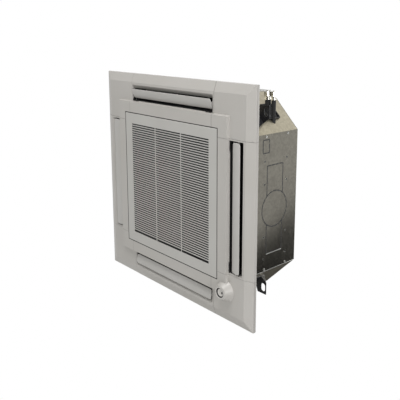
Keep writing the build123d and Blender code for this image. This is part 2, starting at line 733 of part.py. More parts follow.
def drain_pan():
    """The foam pan: a trough under the coil and four air passages down to the panel."""
    out = BODY / 2 - 2 * SHEET - FIT
    pan = octagon(out, FLAT_HALF - 2, BODY_Z, PAN_Z)
    pan -= block(-PAN_HOLE, PAN_HOLE, -PAN_HOLE, PAN_HOLE, BODY_Z, PAN_Z)
    trough = rounded_square(TROUGH_OUT, COIL_BEND + TROUGH_CLEAR, TROUGH_Z, PAN_Z)
    pan -= trough - rounded_square(TROUGH_IN, COIL_BEND - COIL_T - TROUGH_CLEAR, TROUGH_Z, PAN_Z)
    for side in SIDES:
        pan -= turned(block(OUTLET_IN, OUTLET_TOP_OUT - 1, -OUTLET_HALF, OUTLET_HALF, BODY_Z, PAN_Z), side)
    pan -= at_float(sump())
    for sx, sy in CORNERS:
        pan -= post(sx * SCREW_X, sy * SCREW_Y, BODY_Z, BODY_Z + 14, 2.6)
    return pan


def case_screws():
    """Hexagon screws that hold the corner sheets, two heights at each end of a side."""
    head = Rot(0, 90, 0) * extrude(RegularPolygon(SCREW_HEAD / math.sqrt(3), 6), 2)
    y = FLAT_HALF - LAP / 2
    screws = []
    for side in SIDES:
        for at in (-y, y):
            for z in (BODY_Z + LOW_SCREW, BODY_TOP - HIGH_SCREW):
                screws.append(turned(Pos(BODY / 2, at, z) * head, side))
    return Compound(screws)


def panel_screws():
    """Four screws that hang the panel on the case, under the corner covers."""
    screws = []
    for sx, sy in CORNERS:
        x = sx * SCREW_X
        y = sy * SCREW_Y
        screws.append(post(x, y, SCREW_SEAT - 3, SCREW_SEAT, 6) + post(x, y, SCREW_SEAT, BODY_Z + 13, 2.5))
    return Compound(screws)


# ---------------------------------------------------------------- hangers and pipes


def hanger_wall():
    """The bracket's wall on the cut corner, wide at its foot and narrow at its head."""
    along = (HANG_Y - HANG_X) / math.sqrt(2)
    head = HANG_Z + HANG_HEAD
    foot = HANG_Z - HANG_DEEP
    outline = [
        (0, along - HANG_FOOT_W / 2, foot), (0, along + HANG_FOOT_W / 2, foot),
        (0, along + HANG_HEAD_W / 2, head), (0, along - HANG_HEAD_W / 2, head),
    ]
    wall = extrude(make_face(Polyline(*outline, close=True)), HANG_T, dir=(1, 0, 0))
    return Rot(0, 0, 45) * Pos(CORNER_SUM / math.sqrt(2), 0, 0) * wall


def hanger(sx, sy):
    """An angle bracket on a cut corner: a wall on the case and a flange with the rod's slot."""
    foot = (HANG_X + CORNER_SUM - HANG_Y) / 2
    a = HANG_W / 2 / math.sqrt(2)
    p1 = (foot - a, CORNER_SUM - foot + a)
    p2 = (foot + a, CORNER_SUM - foot - a)
    out_x = HANG_X + HANG_EDGE_X
    out_y = HANG_Y + HANG_EDGE_Y
    raked = p2[1] + HANG_RAKE * (out_x - p2[0])
    outline = [p1, p2, (out_x, raked), (out_x, out_y), (HANG_X - HANG_EDGE_IN, out_y)]
    flange = upright(outline, HANG_Z, HANG_Z + HANG_T)
    slot = Pos(HANG_X, HANG_Y, HANG_Z - 1) * extrude(Rot(0, 0, 90) * SlotOverall(SLOT_L, SLOT_W), HANG_T + 2)
    bracket = flange - slot + hanger_wall()
    if sx < 0:
        bracket = mirror(bracket, Plane.YZ)
    if sy < 0:
        bracket = mirror(bracket, Plane.XZ)
    return bracket


def chamfer_at(x):
    """How far north the cut corner's face lies at x, on the pipe side."""
    return -(CORNER_SUM - x)


def pipe_plate():
    """The dark plate on the cut corner that the pipes leave through, with a rim round it."""
    reach = CORNER_SUM / math.sqrt(2)
    n, s = PLATE_NORTH, PLATE_SOUTH
    z0, z1 = PIPE_Z - PLATE_LOW, PIPE_Z + PLATE_HIGH
    rim = PLATE_RIM
    plate = block(reach, reach + PLATE_DEEP, -n, s, z0, z1)
    plate -= block(reach + PLATE_BACK, reach + PLATE_DEEP, rim - n, s - rim, z0 + rim, z1 - rim)
    plate = Rot(0, 0, -45) * plate
    for x, r in ((GAS_X, GAS_R), (LIQUID_X, LIQUID_R)):
        plate -= rod_y(x, -PIPE_END, -BODY / 4, PIPE_Z, r + SLEEVE_T)
    return plate


def grommets():
    """Rubber sleeves round the two pipes, from the case to the nuts."""
    sleeves = []
    for x, r in ((GAS_X, GAS_R), (LIQUID_X, LIQUID_R)):
        y0 = NUT_START + NUT_L + FIT
        y1 = chamfer_at(x) + SLEEVE_IN
        sleeves.append(rod_y(x, y0, y1, PIPE_Z, r + SLEEVE_T) - rod_y(x, y0, y1, PIPE_Z, r))
    return Compound(sleeves)


def pipe(x, r, back):
    """A copper pipe from the coil's header out through the corner, open at its end."""
    tube = rod_y(x, -PIPE_END, back, PIPE_Z, r)
    return tube - rod_y(x, -PIPE_END, back, PIPE_Z, r - PIPE_WALL)


def gas_pipe():
    return pipe(GAS_X, GAS_R, HEADER_Y - GAS_R)


def liquid_pipe():
    """The thin pipe, whose inner end turns to the coil's outer face."""
    y = -COIL_GAP + 12
    tube = rod_y(LIQUID_X, -PIPE_END, y, PIPE_Z, LIQUID_R)
    tube += rod_x(COIL_HALF + FIT, LIQUID_X + LIQUID_R, y, PIPE_Z, LIQUID_R)
    return tube - rod_y(LIQUID_X, -PIPE_END, y, PIPE_Z, LIQUID_R - PIPE_WALL)


def flare_nut(x, r, across):
    """A hexagon nut with a collar, at the end of a pipe."""
    y = NUT_START
    flats = RegularPolygon(across / math.sqrt(3), 6)
    hexagon = Pos(x, y, PIPE_Z) * Rot(-90, 0, 0) * extrude(flats, NUT_L * 0.6)
    collar = rod_y(x, y + NUT_L * 0.5, y + NUT_L, PIPE_Z, across * 0.4)
    return hexagon + collar - rod_y(x, y - 1, y + NUT_L + 1, PIPE_Z, r)


def flare_nuts():
    return Compound([flare_nut(GAS_X, GAS_R, GAS_NUT), flare_nut(LIQUID_X, LIQUID_R, LIQUID_NUT)])


# ---------------------------------------------------------------- coil


def rounded_square(half, r, z0, z1):
    return Pos(0, 0, z0) * extrude(RectangleRounded(2 * half, 2 * half, r), z1 - z0)


def coil_fins():
    """The finned block, bent round the fan and open at the pipe corner."""
    fins = rounded_square(COIL_HALF, COIL_BEND, TROUGH_Z, COIL_TOP)
    fins -= rounded_square(COIL_IN, COIL_BEND - COIL_T, TROUGH_Z, COIL_TOP)
    return fins - block(COIL_GAP, COIL_HALF + 1, -COIL_HALF - 1, -COIL_GAP, TROUGH_Z, COIL_TOP)


def coil_bends():
    """The tubes' return bends on the coil's north end, each half a turn of an eight-sided tube."""
    section = Plane.XZ * Pos(BEND_R, 0) * RegularPolygon(TUBE_R, 8)
    bend = Rot(0, 0, -90) * revolve(section, Axis.Z, revolution_arc=180)
    rise = (COIL_TOP - TROUGH_Z) / TUBE_ROWS
    y = COIL_T / 2 - COIL_HALF
    return Compound([Pos(COIL_GAP, y, TROUGH_Z + rise * (i + 0.5)) * bend for i in range(TUBE_ROWS)])


def coil_header():
    """The upright header beside the coil's east end, with the branch to the gas pipe."""
    x = COIL_HALF - COIL_T / 2
    branch = rod_x(x, GAS_X + GAS_R, HEADER_Y, PIPE_Z, GAS_R)
    return post(x, HEADER_Y, TROUGH_Z + 14, COIL_TOP - 10, HEADER_R) + branch


def coil_partition():
    """The sheet that closes the gap between the coil's two ends."""
    a = (COIL_GAP, -COIL_IN)
    b = (COIL_IN, -COIL_GAP)
    return upright([a, (a[0] + 1.5, a[1]), (b[0], b[1] - 1.5), b], PAN_Z, COIL_TOP)


# ---------------------------------------------------------------- fan


def bell_mouth():
    """The inlet ring on its plate."""
    t = PLATE_T
    out = PAN_HOLE + 2
    plate = block(-out, out, -out, out, BODY_Z - t, BODY_Z) - post(0, 0, BODY_Z - t, BODY_Z, FLARE_R)
    ring = revolved(
        [
            (FLARE_R, BODY_Z - t), (FLARE_R - 14, BODY_Z + 6), (THROAT_R + 4, BODY_Z + 24),
            (THROAT_R, THROAT_Z - 10), (THROAT_R, THROAT_Z), (THROAT_R + t, THROAT_Z), (THROAT_R + t, THROAT_Z - 9),
            (THROAT_R + 7, BODY_Z + 25), (FLARE_R - 11, BODY_Z + 8), (FLARE_R + 2, BODY_Z),
        ]
    )
    end = BOX_HALF + FIT
    return plate + ring - block(BOX_IN - FIT, BOX_OUT + FIT, -end, end, BODY_Z - t, BODY_Z)


def shroud_line():
    """The shroud's upper line, from the throat to the fan's edge."""
    inner = THROAT_R + EYE_GAP + 3
    return [(inner, SHROUD_Z), (inner + 2, SHROUD_Z + 14), (FAN_R - 16, SHROUD_TOP - 5), (FAN_R, SHROUD_TOP)]


def fan_shroud():
    """The fan's lower ring, which runs round the bell mouth's throat."""
    lower = [(r + SHROUD_T, z - 1.5) for r, z in reversed(shroud_line())]
    return revolved(shroud_line() + lower)


def fan_blades():
    """Backward-leaning blades between the shroud and the hub."""
    edge = FAN_R + 20
    under = [(0, 0), (0, SHROUD_Z + 20), (BLADE_IN - 10, SHROUD_Z + 24)]
    under += shroud_line() + [(edge, SHROUD_TOP), (edge, 0)]
    sweep = math.radians(BLADE_SWEEP)
    start = (BLADE_IN, 0)
    end = ((FAN_R - 3) * math.cos(sweep), -(FAN_R - 3) * math.sin(sweep))
    mid = ((start[0] + end[0]) / 2 + BLADE_BOW, end[1] / 2 + BLADE_BOW)
    foot = SHROUD_Z + 14
    blade = Pos(0, 0, foot) * extrude(trace(ThreePointArc(start, mid, end), BLADE_T), HUB_Z - foot)
    blade -= revolved(under)
    return Compound([Rot(0, 0, 360 / BLADES * i) * blade for i in range(BLADES)])


def fan_hub():
    """The hub: a disc with a deep cone that makes room for the motor."""
    t = HUB_T
    return revolved(
        [
            (FAN_R, HUB_Z), (HUB_WELL_R, HUB_Z), (HUB_SEAT_R, HUB_SEAT_Z), (SHAFT_R, HUB_SEAT_Z),
            (SHAFT_R, HUB_SEAT_Z + BOSS_L), (HUB_BOSS_R, HUB_SEAT_Z + BOSS_L), (HUB_BOSS_R, HUB_SEAT_Z + t + 3),
            (HUB_SEAT_R - 1, HUB_SEAT_Z + t), (HUB_WELL_R - 2, HUB_Z + t), (FAN_R, HUB_Z + t),
        ]
    )


def fan_shaft():
    return post(0, 0, HUB_SEAT_Z - 14, MOTOR_Z + 40, SHAFT_R)


def fan_nut():
    nut = Pos(0, 0, HUB_SEAT_Z - 10) * extrude(RegularPolygon(11, 6), 10)
    return nut - post(0, 0, HUB_SEAT_Z - 11, HUB_SEAT_Z, SHAFT_R)


def fan_motor():
    """The motor can with its flange."""
    z1 = BODY_TOP - SHEET - PAD_H
    can = revolved(
        [
            (0, MOTOR_Z), (MOTOR_R - 24, MOTOR_Z), (MOTOR_R - 12, MOTOR_Z + 8), (MOTOR_R - 12, MOTOR_Z + 30),
            (MOTOR_R, z1 - 40), (MOTOR_R, z1 - 8), (MOTOR_R + 26, z1 - 4), (MOTOR_R + 26, z1), (0, z1),
        ]
    )
    return can - post(0, 0, MOTOR_Z - 1, MOTOR_Z + 41, SHAFT_R + RUNNING)


def motor_pads():
    """Rubber pads between the motor and the top plate."""
    z1 = BODY_TOP - SHEET
    reach = MOTOR_R + 13
    pads = []
    for i in range(MOTOR_PADS):
        a = math.radians(45 + 360 / MOTOR_PADS * i)
        pads.append(post(reach * math.cos(a), reach * math.sin(a), z1 - PAD_H, z1, PAD_R))
    return Compound(pads)


# ---------------------------------------------------------------- control box


def control_tray():
    """The steel tray beside the bell mouth, open downwards."""
    w = BOX_WALL
    tray = block(BOX_IN, BOX_OUT, -BOX_HALF, BOX_HALF, BODY_Z, BOX_TOP)
    return tray - block(BOX_IN + w, BOX_OUT - w, -BOX_HALF + w, BOX_HALF - w, BODY_Z, BOX_TOP - w)


def control_cover():
    return block(BOX_IN, BOX_OUT, -BOX_HALF, BOX_HALF, BODY_Z - PLATE_T, BODY_Z)


def circuit_board():
    """The board with its few large components, on feet under the tray's roof."""
    z1 = BOX_TOP - BOX_WALL
    face = z1 - BOARD_DROP
    y1 = BOX_HALF - BOARD_END
    y0 = y1 - BOARD_L
    x0, x1 = BOX_IN + BOARD_IN, BOX_OUT - BOARD_IN
    board = block(x0, x1, y0, y1, face, face + BOARD_T)
    feet = [
        post(x, y, face + BOARD_T, z1, BOARD_FOOT)
        for x in (x0 + BOARD_FOOT_IN / 2, x1 - BOARD_FOOT_IN / 2)
        for y in (y0 + BOARD_FOOT_IN, (y0 + y1) / 2, y1 - BOARD_FOOT_IN)
    ]
    capacitor = post(x0 + 12, y1 - 30, face - 18, face, 8)
    relay = block(x0 + 6, x0 + 30, y1 - 100, y1 - 68, face - 14, face)
    filter_coil = block(x0 + 8, x0 + 26, y0 + 20, y0 + 46, face - 10, face)
    return board + feet + [capacitor, relay, filter_coil]


def terminal_block():
    """The screw terminals for the supply and the control wires."""
    z1 = BOX_TOP - BOX_WALL
    y0 = TERMINAL_END - BOX_HALF
    x0, x1 = BOX_IN + TERMINAL_END, BOX_OUT - TERMINAL_END
    body = block(x0, x1, y0, y0 + TERMINAL_L, z1 - TERMINAL_H, z1)
    for i in range(TERMINALS):
        y = y0 + 4 + TERMINAL_PITCH * i
        body -= block(x0 + 4, x1 - 4, y, y + TERMINAL_PITCH - 3, z1 - TERMINAL_H - 1, z1 - TERMINAL_H * 0.7)
    return body


# ---------------------------------------------------------------- drain


def pump_body():
    """The pump's cup in the pan's sump, with its inlet below and a lid."""
    z0 = SUMP_Z + FIT
    z1 = PUMP_TOP - PUMP_MOTOR_H
    cup = post(PUMP_X, PUMP_Y, z0, z0 + 22, PUMP_R) - post(PUMP_X, PUMP_Y, z0 + 2, z0 + 20, PUMP_R - 2.5)
    cup -= post(PUMP_X, PUMP_Y, z0 - 1, z0 + 3, 9)
    cup -= post(PUMP_X, PUMP_Y, z0 + 19, z0 + 23, PUMP_SHAFT_R + RUNNING)
    return cup + post(PUMP_X, PUMP_Y, z0 + 22, z1, COLUMN_R) - post(PUMP_X, PUMP_Y, z0 + 22, z1, COLUMN_R - 3)


def pump_impeller():
    """The four-bladed impeller on its shaft."""
    z0 = SUMP_Z + FIT
    rotor = post(PUMP_X, PUMP_Y, z0 + 4, PUMP_TOP - PUMP_MOTOR_H + 6, PUMP_SHAFT_R)
    for a in (0, 90):
        rotor += Pos(PUMP_X, PUMP_Y, z0 + 10) * Rot(0, 0, a) * Box(2 * IMPELLER_R, 2.4, 12)
    return rotor


def pump_motor():
    """The pump's motor on its column, and the arm that holds it to the case's top."""
    z0 = PUMP_TOP - PUMP_MOTOR_H
    motor = post(PUMP_X, PUMP_Y, z0, PUMP_TOP, PUMP_MOTOR_R)
    motor -= post(PUMP_X, PUMP_Y, z0, z0 + 7, PUMP_SHAFT_R + RUNNING)
    return motor + block(PUMP_X - 12, PUMP_X + 12, PUMP_Y - 1, PUMP_Y + 1, PUMP_TOP, BODY_TOP - SHEET)


def at_float(shape):
    """A shape made on the pump's axis, with +x towards the corner."""
    return Pos(PUMP_X, PUMP_Y, 0) * Rot(0, 0, -45) * shape


def float_guide():
    """The rod and stop that the float rides on, on an arm from the pump's column."""
    z0 = SUMP_Z + FIT
    z1 = FLOAT_ROD_TOP
    rod = post(FLOAT_OFF, 0, z0, z1, FLOAT_ROD_R) + post(FLOAT_OFF, 0, z0, z0 + FLOAT_STOP, 6)
    return at_float(rod + block(COLUMN_R + FIT, FLOAT_OFF, -4, 4, z1 - 4, z1))


def drain_float():
    z0 = SUMP_Z + FLOAT_STOP + 2 * FIT
    bore = post(FLOAT_OFF, 0, z0, z0 + FLOAT_H, FLOAT_ROD_R + RUNNING)
    return at_float(post(FLOAT_OFF, 0, z0, z0 + FLOAT_H, FLOAT_R) - bore)


def drain_socket():
    """The drain outlet on the north side, a flanged socket."""
    y1 = -BODY / 2
    tube = rod_y(DRAIN_X, y1 - DRAIN_L, y1 + 14, DRAIN_Z, DRAIN_R)
    flange = rod_y(DRAIN_X, y1 - 3, y1, DRAIN_Z, DRAIN_R + 9)
    return tube + flange - rod_y(DRAIN_X, y1 - DRAIN_L, y1 + 14, DRAIN_Z, DRAIN_R - DRAIN_WALL)


NODES = {
    "panel_frame": panel_frame,
    "corner_cover_sensor": sensor_cover,
    "corner_cover_south_west": lambda: mirror(corner_cover(), Plane.YZ),
    "corner_cover_north_west": lambda: Rot(0, 0, 180) * corner_cover(),
    "corner_cover_north_east": lambda: mirror(corner_cover(), Plane.XZ),
    "sensor_turret": sensor_turret,
    "sensor_eye": sensor_eye,
    "sensor_drive": sensor_drive,
    "intake_grille": intake_grille,
    "grille_latch_west": lambda: grille_latch(-1),
    "grille_latch_east": lambda: grille_latch(1),
    "filter_frame": filter_frame,
    "filter_mesh": filter_mesh,
    "vane_east": lambda: vane("east"),
    "vane_south": lambda: vane("south"),
    "vane_west": lambda: vane("west"),
    "vane_north": lambda: vane("north"),
    "vane_drives": vane_drives,
    "duct_gaskets": duct_gaskets,
    "intake_gasket": intake_gasket,
    "case_sides": case_sides,
    "case_corners": case_corners,
    "top_plate": top_plate,
    "knockout_large": knockout_large,
    "knockout_small": knockout_small,
    "case_liner": case_liner,
    "case_screws": case_screws,
    "panel_screws": panel_screws,
    "drain_pan": drain_pan,
    "hanger_south_east": lambda: hanger(1, 1),
    "hanger_south_west": lambda: hanger(-1, 1),
    "hanger_north_west": lambda: hanger(-1, -1),
    "hanger_north_east": lambda: hanger(1, -1),
    "pipe_plate": pipe_plate,
    "grommets": grommets,
    "gas_pipe": gas_pipe,
    "liquid_pipe": liquid_pipe,
    "flare_nuts": flare_nuts,
    "coil_fins": coil_fins,
    "coil_bends": coil_bends,
    "coil_header": coil_header,
    "coil_partition": coil_partition,
    "bell_mouth": bell_mouth,
    "fan_shroud": fan_shroud,
    "fan_blades": fan_blades,
    "fan_hub": fan_hub,
    "fan_shaft": fan_shaft,
    "fan_nut": fan_nut,
    "fan_motor": fan_motor,
    "motor_pads": motor_pads,
    "control_tray": control_tray,
    "control_cover": control_cover,
    "circuit_board": circuit_board,
    "terminal_block": terminal_block,
    "pump_body": pump_body,
    "pump_impeller": pump_impeller,
    "pump_motor": pump_motor,
    "float_guide": float_guide,
    "drain_float": drain_float,
    "drain_socket": drain_socket,
}

for name, make in NODES.items():
    shape = make()
    export_step(Compound(shape.solids()), f"parts/{name}.step")
    print(name, len(shape.solids()), "solids")
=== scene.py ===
# %% [markdown]
# A ceiling cassette air conditioner, seen from below and from one side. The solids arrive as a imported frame
# that already moves on its joints. This lesson dresses that frame: it sets the camera, gives every piece
# the finish of the real material, and adds the small pressed and moulded details that the eye expects.

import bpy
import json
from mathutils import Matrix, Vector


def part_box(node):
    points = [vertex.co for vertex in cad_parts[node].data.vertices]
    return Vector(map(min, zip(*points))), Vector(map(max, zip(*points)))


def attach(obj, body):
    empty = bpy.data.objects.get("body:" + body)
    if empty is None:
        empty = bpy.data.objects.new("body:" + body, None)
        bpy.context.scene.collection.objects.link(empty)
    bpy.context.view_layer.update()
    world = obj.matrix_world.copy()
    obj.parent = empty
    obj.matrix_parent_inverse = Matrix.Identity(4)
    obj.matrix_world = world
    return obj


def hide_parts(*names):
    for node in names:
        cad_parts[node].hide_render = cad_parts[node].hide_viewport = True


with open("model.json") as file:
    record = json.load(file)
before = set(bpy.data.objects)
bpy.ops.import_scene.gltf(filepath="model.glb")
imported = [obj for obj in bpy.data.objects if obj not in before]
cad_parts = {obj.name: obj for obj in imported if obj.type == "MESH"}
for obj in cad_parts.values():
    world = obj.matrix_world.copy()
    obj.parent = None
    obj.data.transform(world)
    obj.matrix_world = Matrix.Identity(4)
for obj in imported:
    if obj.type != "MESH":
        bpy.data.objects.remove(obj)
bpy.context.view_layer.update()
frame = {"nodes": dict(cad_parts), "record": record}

import json
import math

import bmesh
import bpy
import mathutils
import numpy as np

MM = 0.001

# %% [markdown]
# The camera comes first, because everything after it is judged through it. It looks up at the panel from
# the side, so it needs its own three axes instead of a turn about the upright: forward from two angles,
# right as the level axis across the panel, and up as their cross product. The picture's centre lies above
# the frame's middle, which a small shift gives.

# %% Camera
AZIMUTH = math.radians(48.366)
RISE = math.radians(11.069)
ROLL = math.radians(-0.184)
STAND = (1.83779, -0.67113, -1.49357)
LENS_MM = 51.46
SENSOR_MM = 36.0
SHIFT_Y = -0.15

ahead = math.cos(RISE)
forward = np.array([-math.sin(AZIMUTH) * ahead, math.sin(RISE), math.cos(AZIMUTH) * ahead])
level = np.array([math.cos(AZIMUTH), 0.0, math.sin(AZIMUTH)])
above = np.cross(level, forward)
right = level * math.cos(ROLL) + above * math.sin(ROLL)
up = above * math.cos(ROLL) - level * math.sin(ROLL)

scene = bpy.context.scene
lens = bpy.data.cameras.new("camera")
lens.sensor_width = SENSOR_MM
lens.lens = LENS_MM
lens.shift_y = SHIFT_Y
camera = bpy.data.objects.new("camera", lens)
scene.collection.objects.link(camera)
pose = np.eye(4)
pose[:3, :] = np.column_stack([right, up, -forward, STAND])
camera.matrix_world = mathutils.Matrix(pose.tolist())
scene.camera = camera
print("camera stands", round(float(np.linalg.norm(STAND)), 2), "m from the origin")

# %% [markdown]
# Every finish is a small node tree. One helper adds a node, sets its properties, and fills or links its
# inputs, so a material reads as a short list. Colours are written as the hex values a painter would use
# and turned to linear light by one function.

# %% Helpers for materials


def linear(hex_colour):
    """sRGB hex to linear RGBA: each channel c becomes c/12.92 below 0.04045, else ((c + 0.055)/1.055)^2.4."""
    c = np.array([int(hex_colour[i : i + 2], 16) for i in (1, 3, 5)]) / 255.0
    rgb = np.where(c <= 0.04045, c / 12.92, ((c + 0.055) / 1.055) ** 2.4)
    return (*rgb.tolist(), 1.0)


def add(tree, kind, inputs=(), **settings):
    """Adds one node with its own settings, and fills its inputs: a node is linked by its first output, a
    socket is linked, and anything else is a value."""
    made = tree.nodes.new(kind)
    for key, value in settings.items():
        setattr(made, key, value)
    for key, value in dict(inputs).items():
        if isinstance(value, bpy.types.Node):
            value = value.outputs[0]
        if isinstance(value, bpy.types.NodeSocket):
            tree.links.new(value, made.inputs[key])
        else:
            made.inputs[key].default_value = value
    return made


def new_material(name, **constants):
    """A material whose shader has these constant values: returns the material, its tree and the shader."""
    made = bpy.data.materials.new(name)
    made.use_nodes = True
    tree = made.node_tree
    shader = tree.nodes["Principled BSDF"]
    for key, value in constants.items():
        shader.inputs[key.replace("_", " ")].default_value = value
    return made, tree, shader


# %% [markdown]
# Where two mouldings meet, the gap between them lies in shade and the eye sees a dark line. A mask on the
# piece's own coordinates paints that shade into the colour of the gaps round the grille and the corner
# covers.
# A second mask paints shade on the louvres behind their fronts, where no light reaches. Both work on
# distances from the panel's middle, because the panel is square and alike on its four sides.

# %% Masks for painted shade in seams and louvres
GRILLE_SEAM = 302.0
COVER_SEAM = 268.15
COVER_SHADE = 0.5
FIELD_HALF = 254.3
GRILLE_FRONT = -42.0
GRILLE_FADE, COVER_FADE = (1.5, 2.2), (0.4, 0.9)  # fully dark to here, and untouched from there
LOUVRE_FADE = (2.2, 0.7)  # the same, as depths behind the grille's front
PAST_GRILLE = 2.5


def plan(tree):
    """The larger and the smaller of |x| and |y| at a point of the piece, and its z, in metres."""
    point = add(tree, "ShaderNodeTexCoord").outputs["Object"]
    axes = add(tree, "ShaderNodeSeparateXYZ", {"Vector": point})
    x = add(tree, "ShaderNodeMath", {0: axes.outputs["X"]}, operation="ABSOLUTE")
    y = add(tree, "ShaderNodeMath", {0: axes.outputs["Y"]}, operation="ABSOLUTE")
    far = add(tree, "ShaderNodeMath", {0: x, 1: y}, operation="MAXIMUM")
    near = add(tree, "ShaderNodeMath", {0: x, 1: y}, operation="MINIMUM")
    return far, near, axes.outputs["Z"]


def seam_shade_mask(tree):
    """Painted shade: the gap round the grille, and the gaps beside the corner covers where they lie past the
    grille.
    """
    far, near, _ = plan(tree)
    gaps = []
    for distance, middle, (full, none) in ((far, GRILLE_SEAM, GRILLE_FADE), (near, COVER_SEAM, COVER_FADE)):
        off = add(tree, "ShaderNodeMath", {0: distance, 1: middle * MM}, operation="SUBTRACT")
        off = add(tree, "ShaderNodeMath", {0: off}, operation="ABSOLUTE")
        fade = {"Value": off, "From Min": full * MM, "From Max": none * MM, "To Min": 1.0, "To Max": 0.0}
        gaps.append(add(tree, "ShaderNodeMapRange", fade))
    edge = (GRILLE_SEAM + PAST_GRILLE) * MM
    beyond = add(tree, "ShaderNodeMath", {0: far, 1: edge}, operation="GREATER_THAN")
    beyond = add(tree, "ShaderNodeMath", {0: beyond, 1: COVER_SHADE}, operation="MULTIPLY")
    cover = add(tree, "ShaderNodeMath", {0: gaps[1], 1: beyond}, operation="MULTIPLY")
    return add(tree, "ShaderNodeMath", {0: gaps[0], 1: cover}, operation="MAXIMUM")


def louvre_shade_mask(tree):
    """Painted shade: the seam mask, and everything inside the field that lies behind the louvres' fronts."""
    far, _, z = plan(tree)
    inside = add(tree, "ShaderNodeMath", {0: far, 1: FIELD_HALF * MM}, operation="LESS_THAN")
    full, none = ((GRILLE_FRONT + depth) * MM for depth in LOUVRE_FADE)
    fade = {"Value": z, "From Min": full, "From Max": none, "To Min": 1.0, "To Max": 0.0}
    deep = add(tree, "ShaderNodeMapRange", fade)
    hollow = add(tree, "ShaderNodeMath", {0: inside, 1: deep}, operation="MULTIPLY")
    return add(tree, "ShaderNodeMath", {0: seam_shade_mask(tree), 1: hollow}, operation="MAXIMUM")


# %% [markdown]
# The panel, covers, grille and vanes are injection-moulded ABS in a warm light grey. The mould's spark
# eroded texture breaks the gloss into a soft sheen, and the tone drifts a little over a quarter of a metre.
# The grain is about 0.3 mm on the real part and is drawn 1.2 mm wide so that it survives in a picture of
# this size. Polypropylene is a little duller and shares the tree: the filter's frame, the liners and the
# fan are made of it.

# %% Moulded plastics
PLASTIC_IOR = 1.54
DRIFTS_PER_M = 4.0
GLOSS_SPREAD = 0.06
GRAIN_DEEP = 0.3
# The dark colour of the painted shade in the seams and behind the louvres.
PAINTED_SHADE_COLOUR = "#1c1b1a"


def moulded(name, colour, shade, roughness, grain_mm=1.2, shade_mask=None):
    """Colour that drifts between two tones, a grain in gloss and height, and painted shade where the mask is
    1.
    """
    made, tree, shader = new_material(name, IOR=PLASTIC_IOR)
    point = add(tree, "ShaderNodeTexCoord").outputs["Object"]
    drift = add(tree, "ShaderNodeTexNoise", {"Vector": point, "Scale": DRIFTS_PER_M, "Detail": 2.0})
    ramp = add(tree, "ShaderNodeValToRGB", {"Fac": drift})
    ramp.color_ramp.elements[0].position = 0.3
    ramp.color_ramp.elements[0].color = linear(shade)
    ramp.color_ramp.elements[1].position = 0.7
    ramp.color_ramp.elements[1].color = linear(colour)
    tone = ramp.outputs["Color"]
    # Where the mask is 1 the colour turns to the dark shade colour: painted shade.
    if shade_mask:
        blend = {0: shade_mask(tree), 6: tone, 7: linear(PAINTED_SHADE_COLOUR)}
        tone = add(tree, "ShaderNodeMix", blend, data_type="RGBA").outputs[2]
    grain = add(tree, "ShaderNodeTexNoise", {"Vector": point, "Scale": 1 / (grain_mm * MM), "Detail": 1.0})
    spread = {"Value": grain, "To Min": roughness - GLOSS_SPREAD, "To Max": roughness + GLOSS_SPREAD}
    gloss = add(tree, "ShaderNodeMapRange", spread)
    bump = add(tree, "ShaderNodeBump", {"Height": grain, "Strength": 0.12, "Distance": GRAIN_DEEP * MM})
    tree.links.new(tone, shader.inputs["Base Color"])
    tree.links.new(gloss.outputs["Result"], shader.inputs["Roughness"])
    tree.links.new(bump.outputs["Normal"], shader.inputs["Normal"])
    return made


# The panel's mask paints shade into its seams.
panel_abs = moulded("moulded_abs_warm_grey", "#b3b0ac", "#afaca7", 0.42, shade_mask=seam_shade_mask)  # satin
# The grille's mask paints shade into its seams and behind its louvres' fronts.
grille_abs = moulded("moulded_abs_grille", "#b5b4b0", "#b1afab", 0.4, shade_mask=louvre_shade_mask)  # dark inside
# The vanes are a touch paler than the panel to lift the shade their tilt puts them in: painted light.
vane_abs = moulded("moulded_abs_vane", "#b6b4b1", "#b2b0ac", 0.4)  # satin, a touch paler
boss_abs = moulded("moulded_abs_sensor", "#cbc8c4", "#c6c3be", 0.34)  # palest and glossiest
black_pp = moulded("moulded_polypropylene_black", "#1d1d1e", "#161617", 0.5)  # black with a grey sheen
filter_pp = moulded("moulded_polypropylene_charcoal", "#313335", "#2b2d2f", 0.5)  # dark, dull
fan_pp = moulded("moulded_polypropylene_pale", "#c9c9c4", "#c2c2bc", 0.45, 2.0)  # pale, coarser grain
print("moulded plastics:", len(bpy.data.materials))

# %% [markdown]
# The case is folded from hot-dip galvanised steel sheet. Zinc freezes in flat crystals about 9 mm across,
# the spangle, and each crystal reflects a little differently. A Voronoi texture gives the crystals, its
# cell colour shifts brightness and roughness, and a yellowish cast comes from the passivation dip.

# %% Galvanised steel
CLOUDS_PER_M = 9.0
CLOUD_SHARE = 0.55
CLOUD_DEEP = 0.6


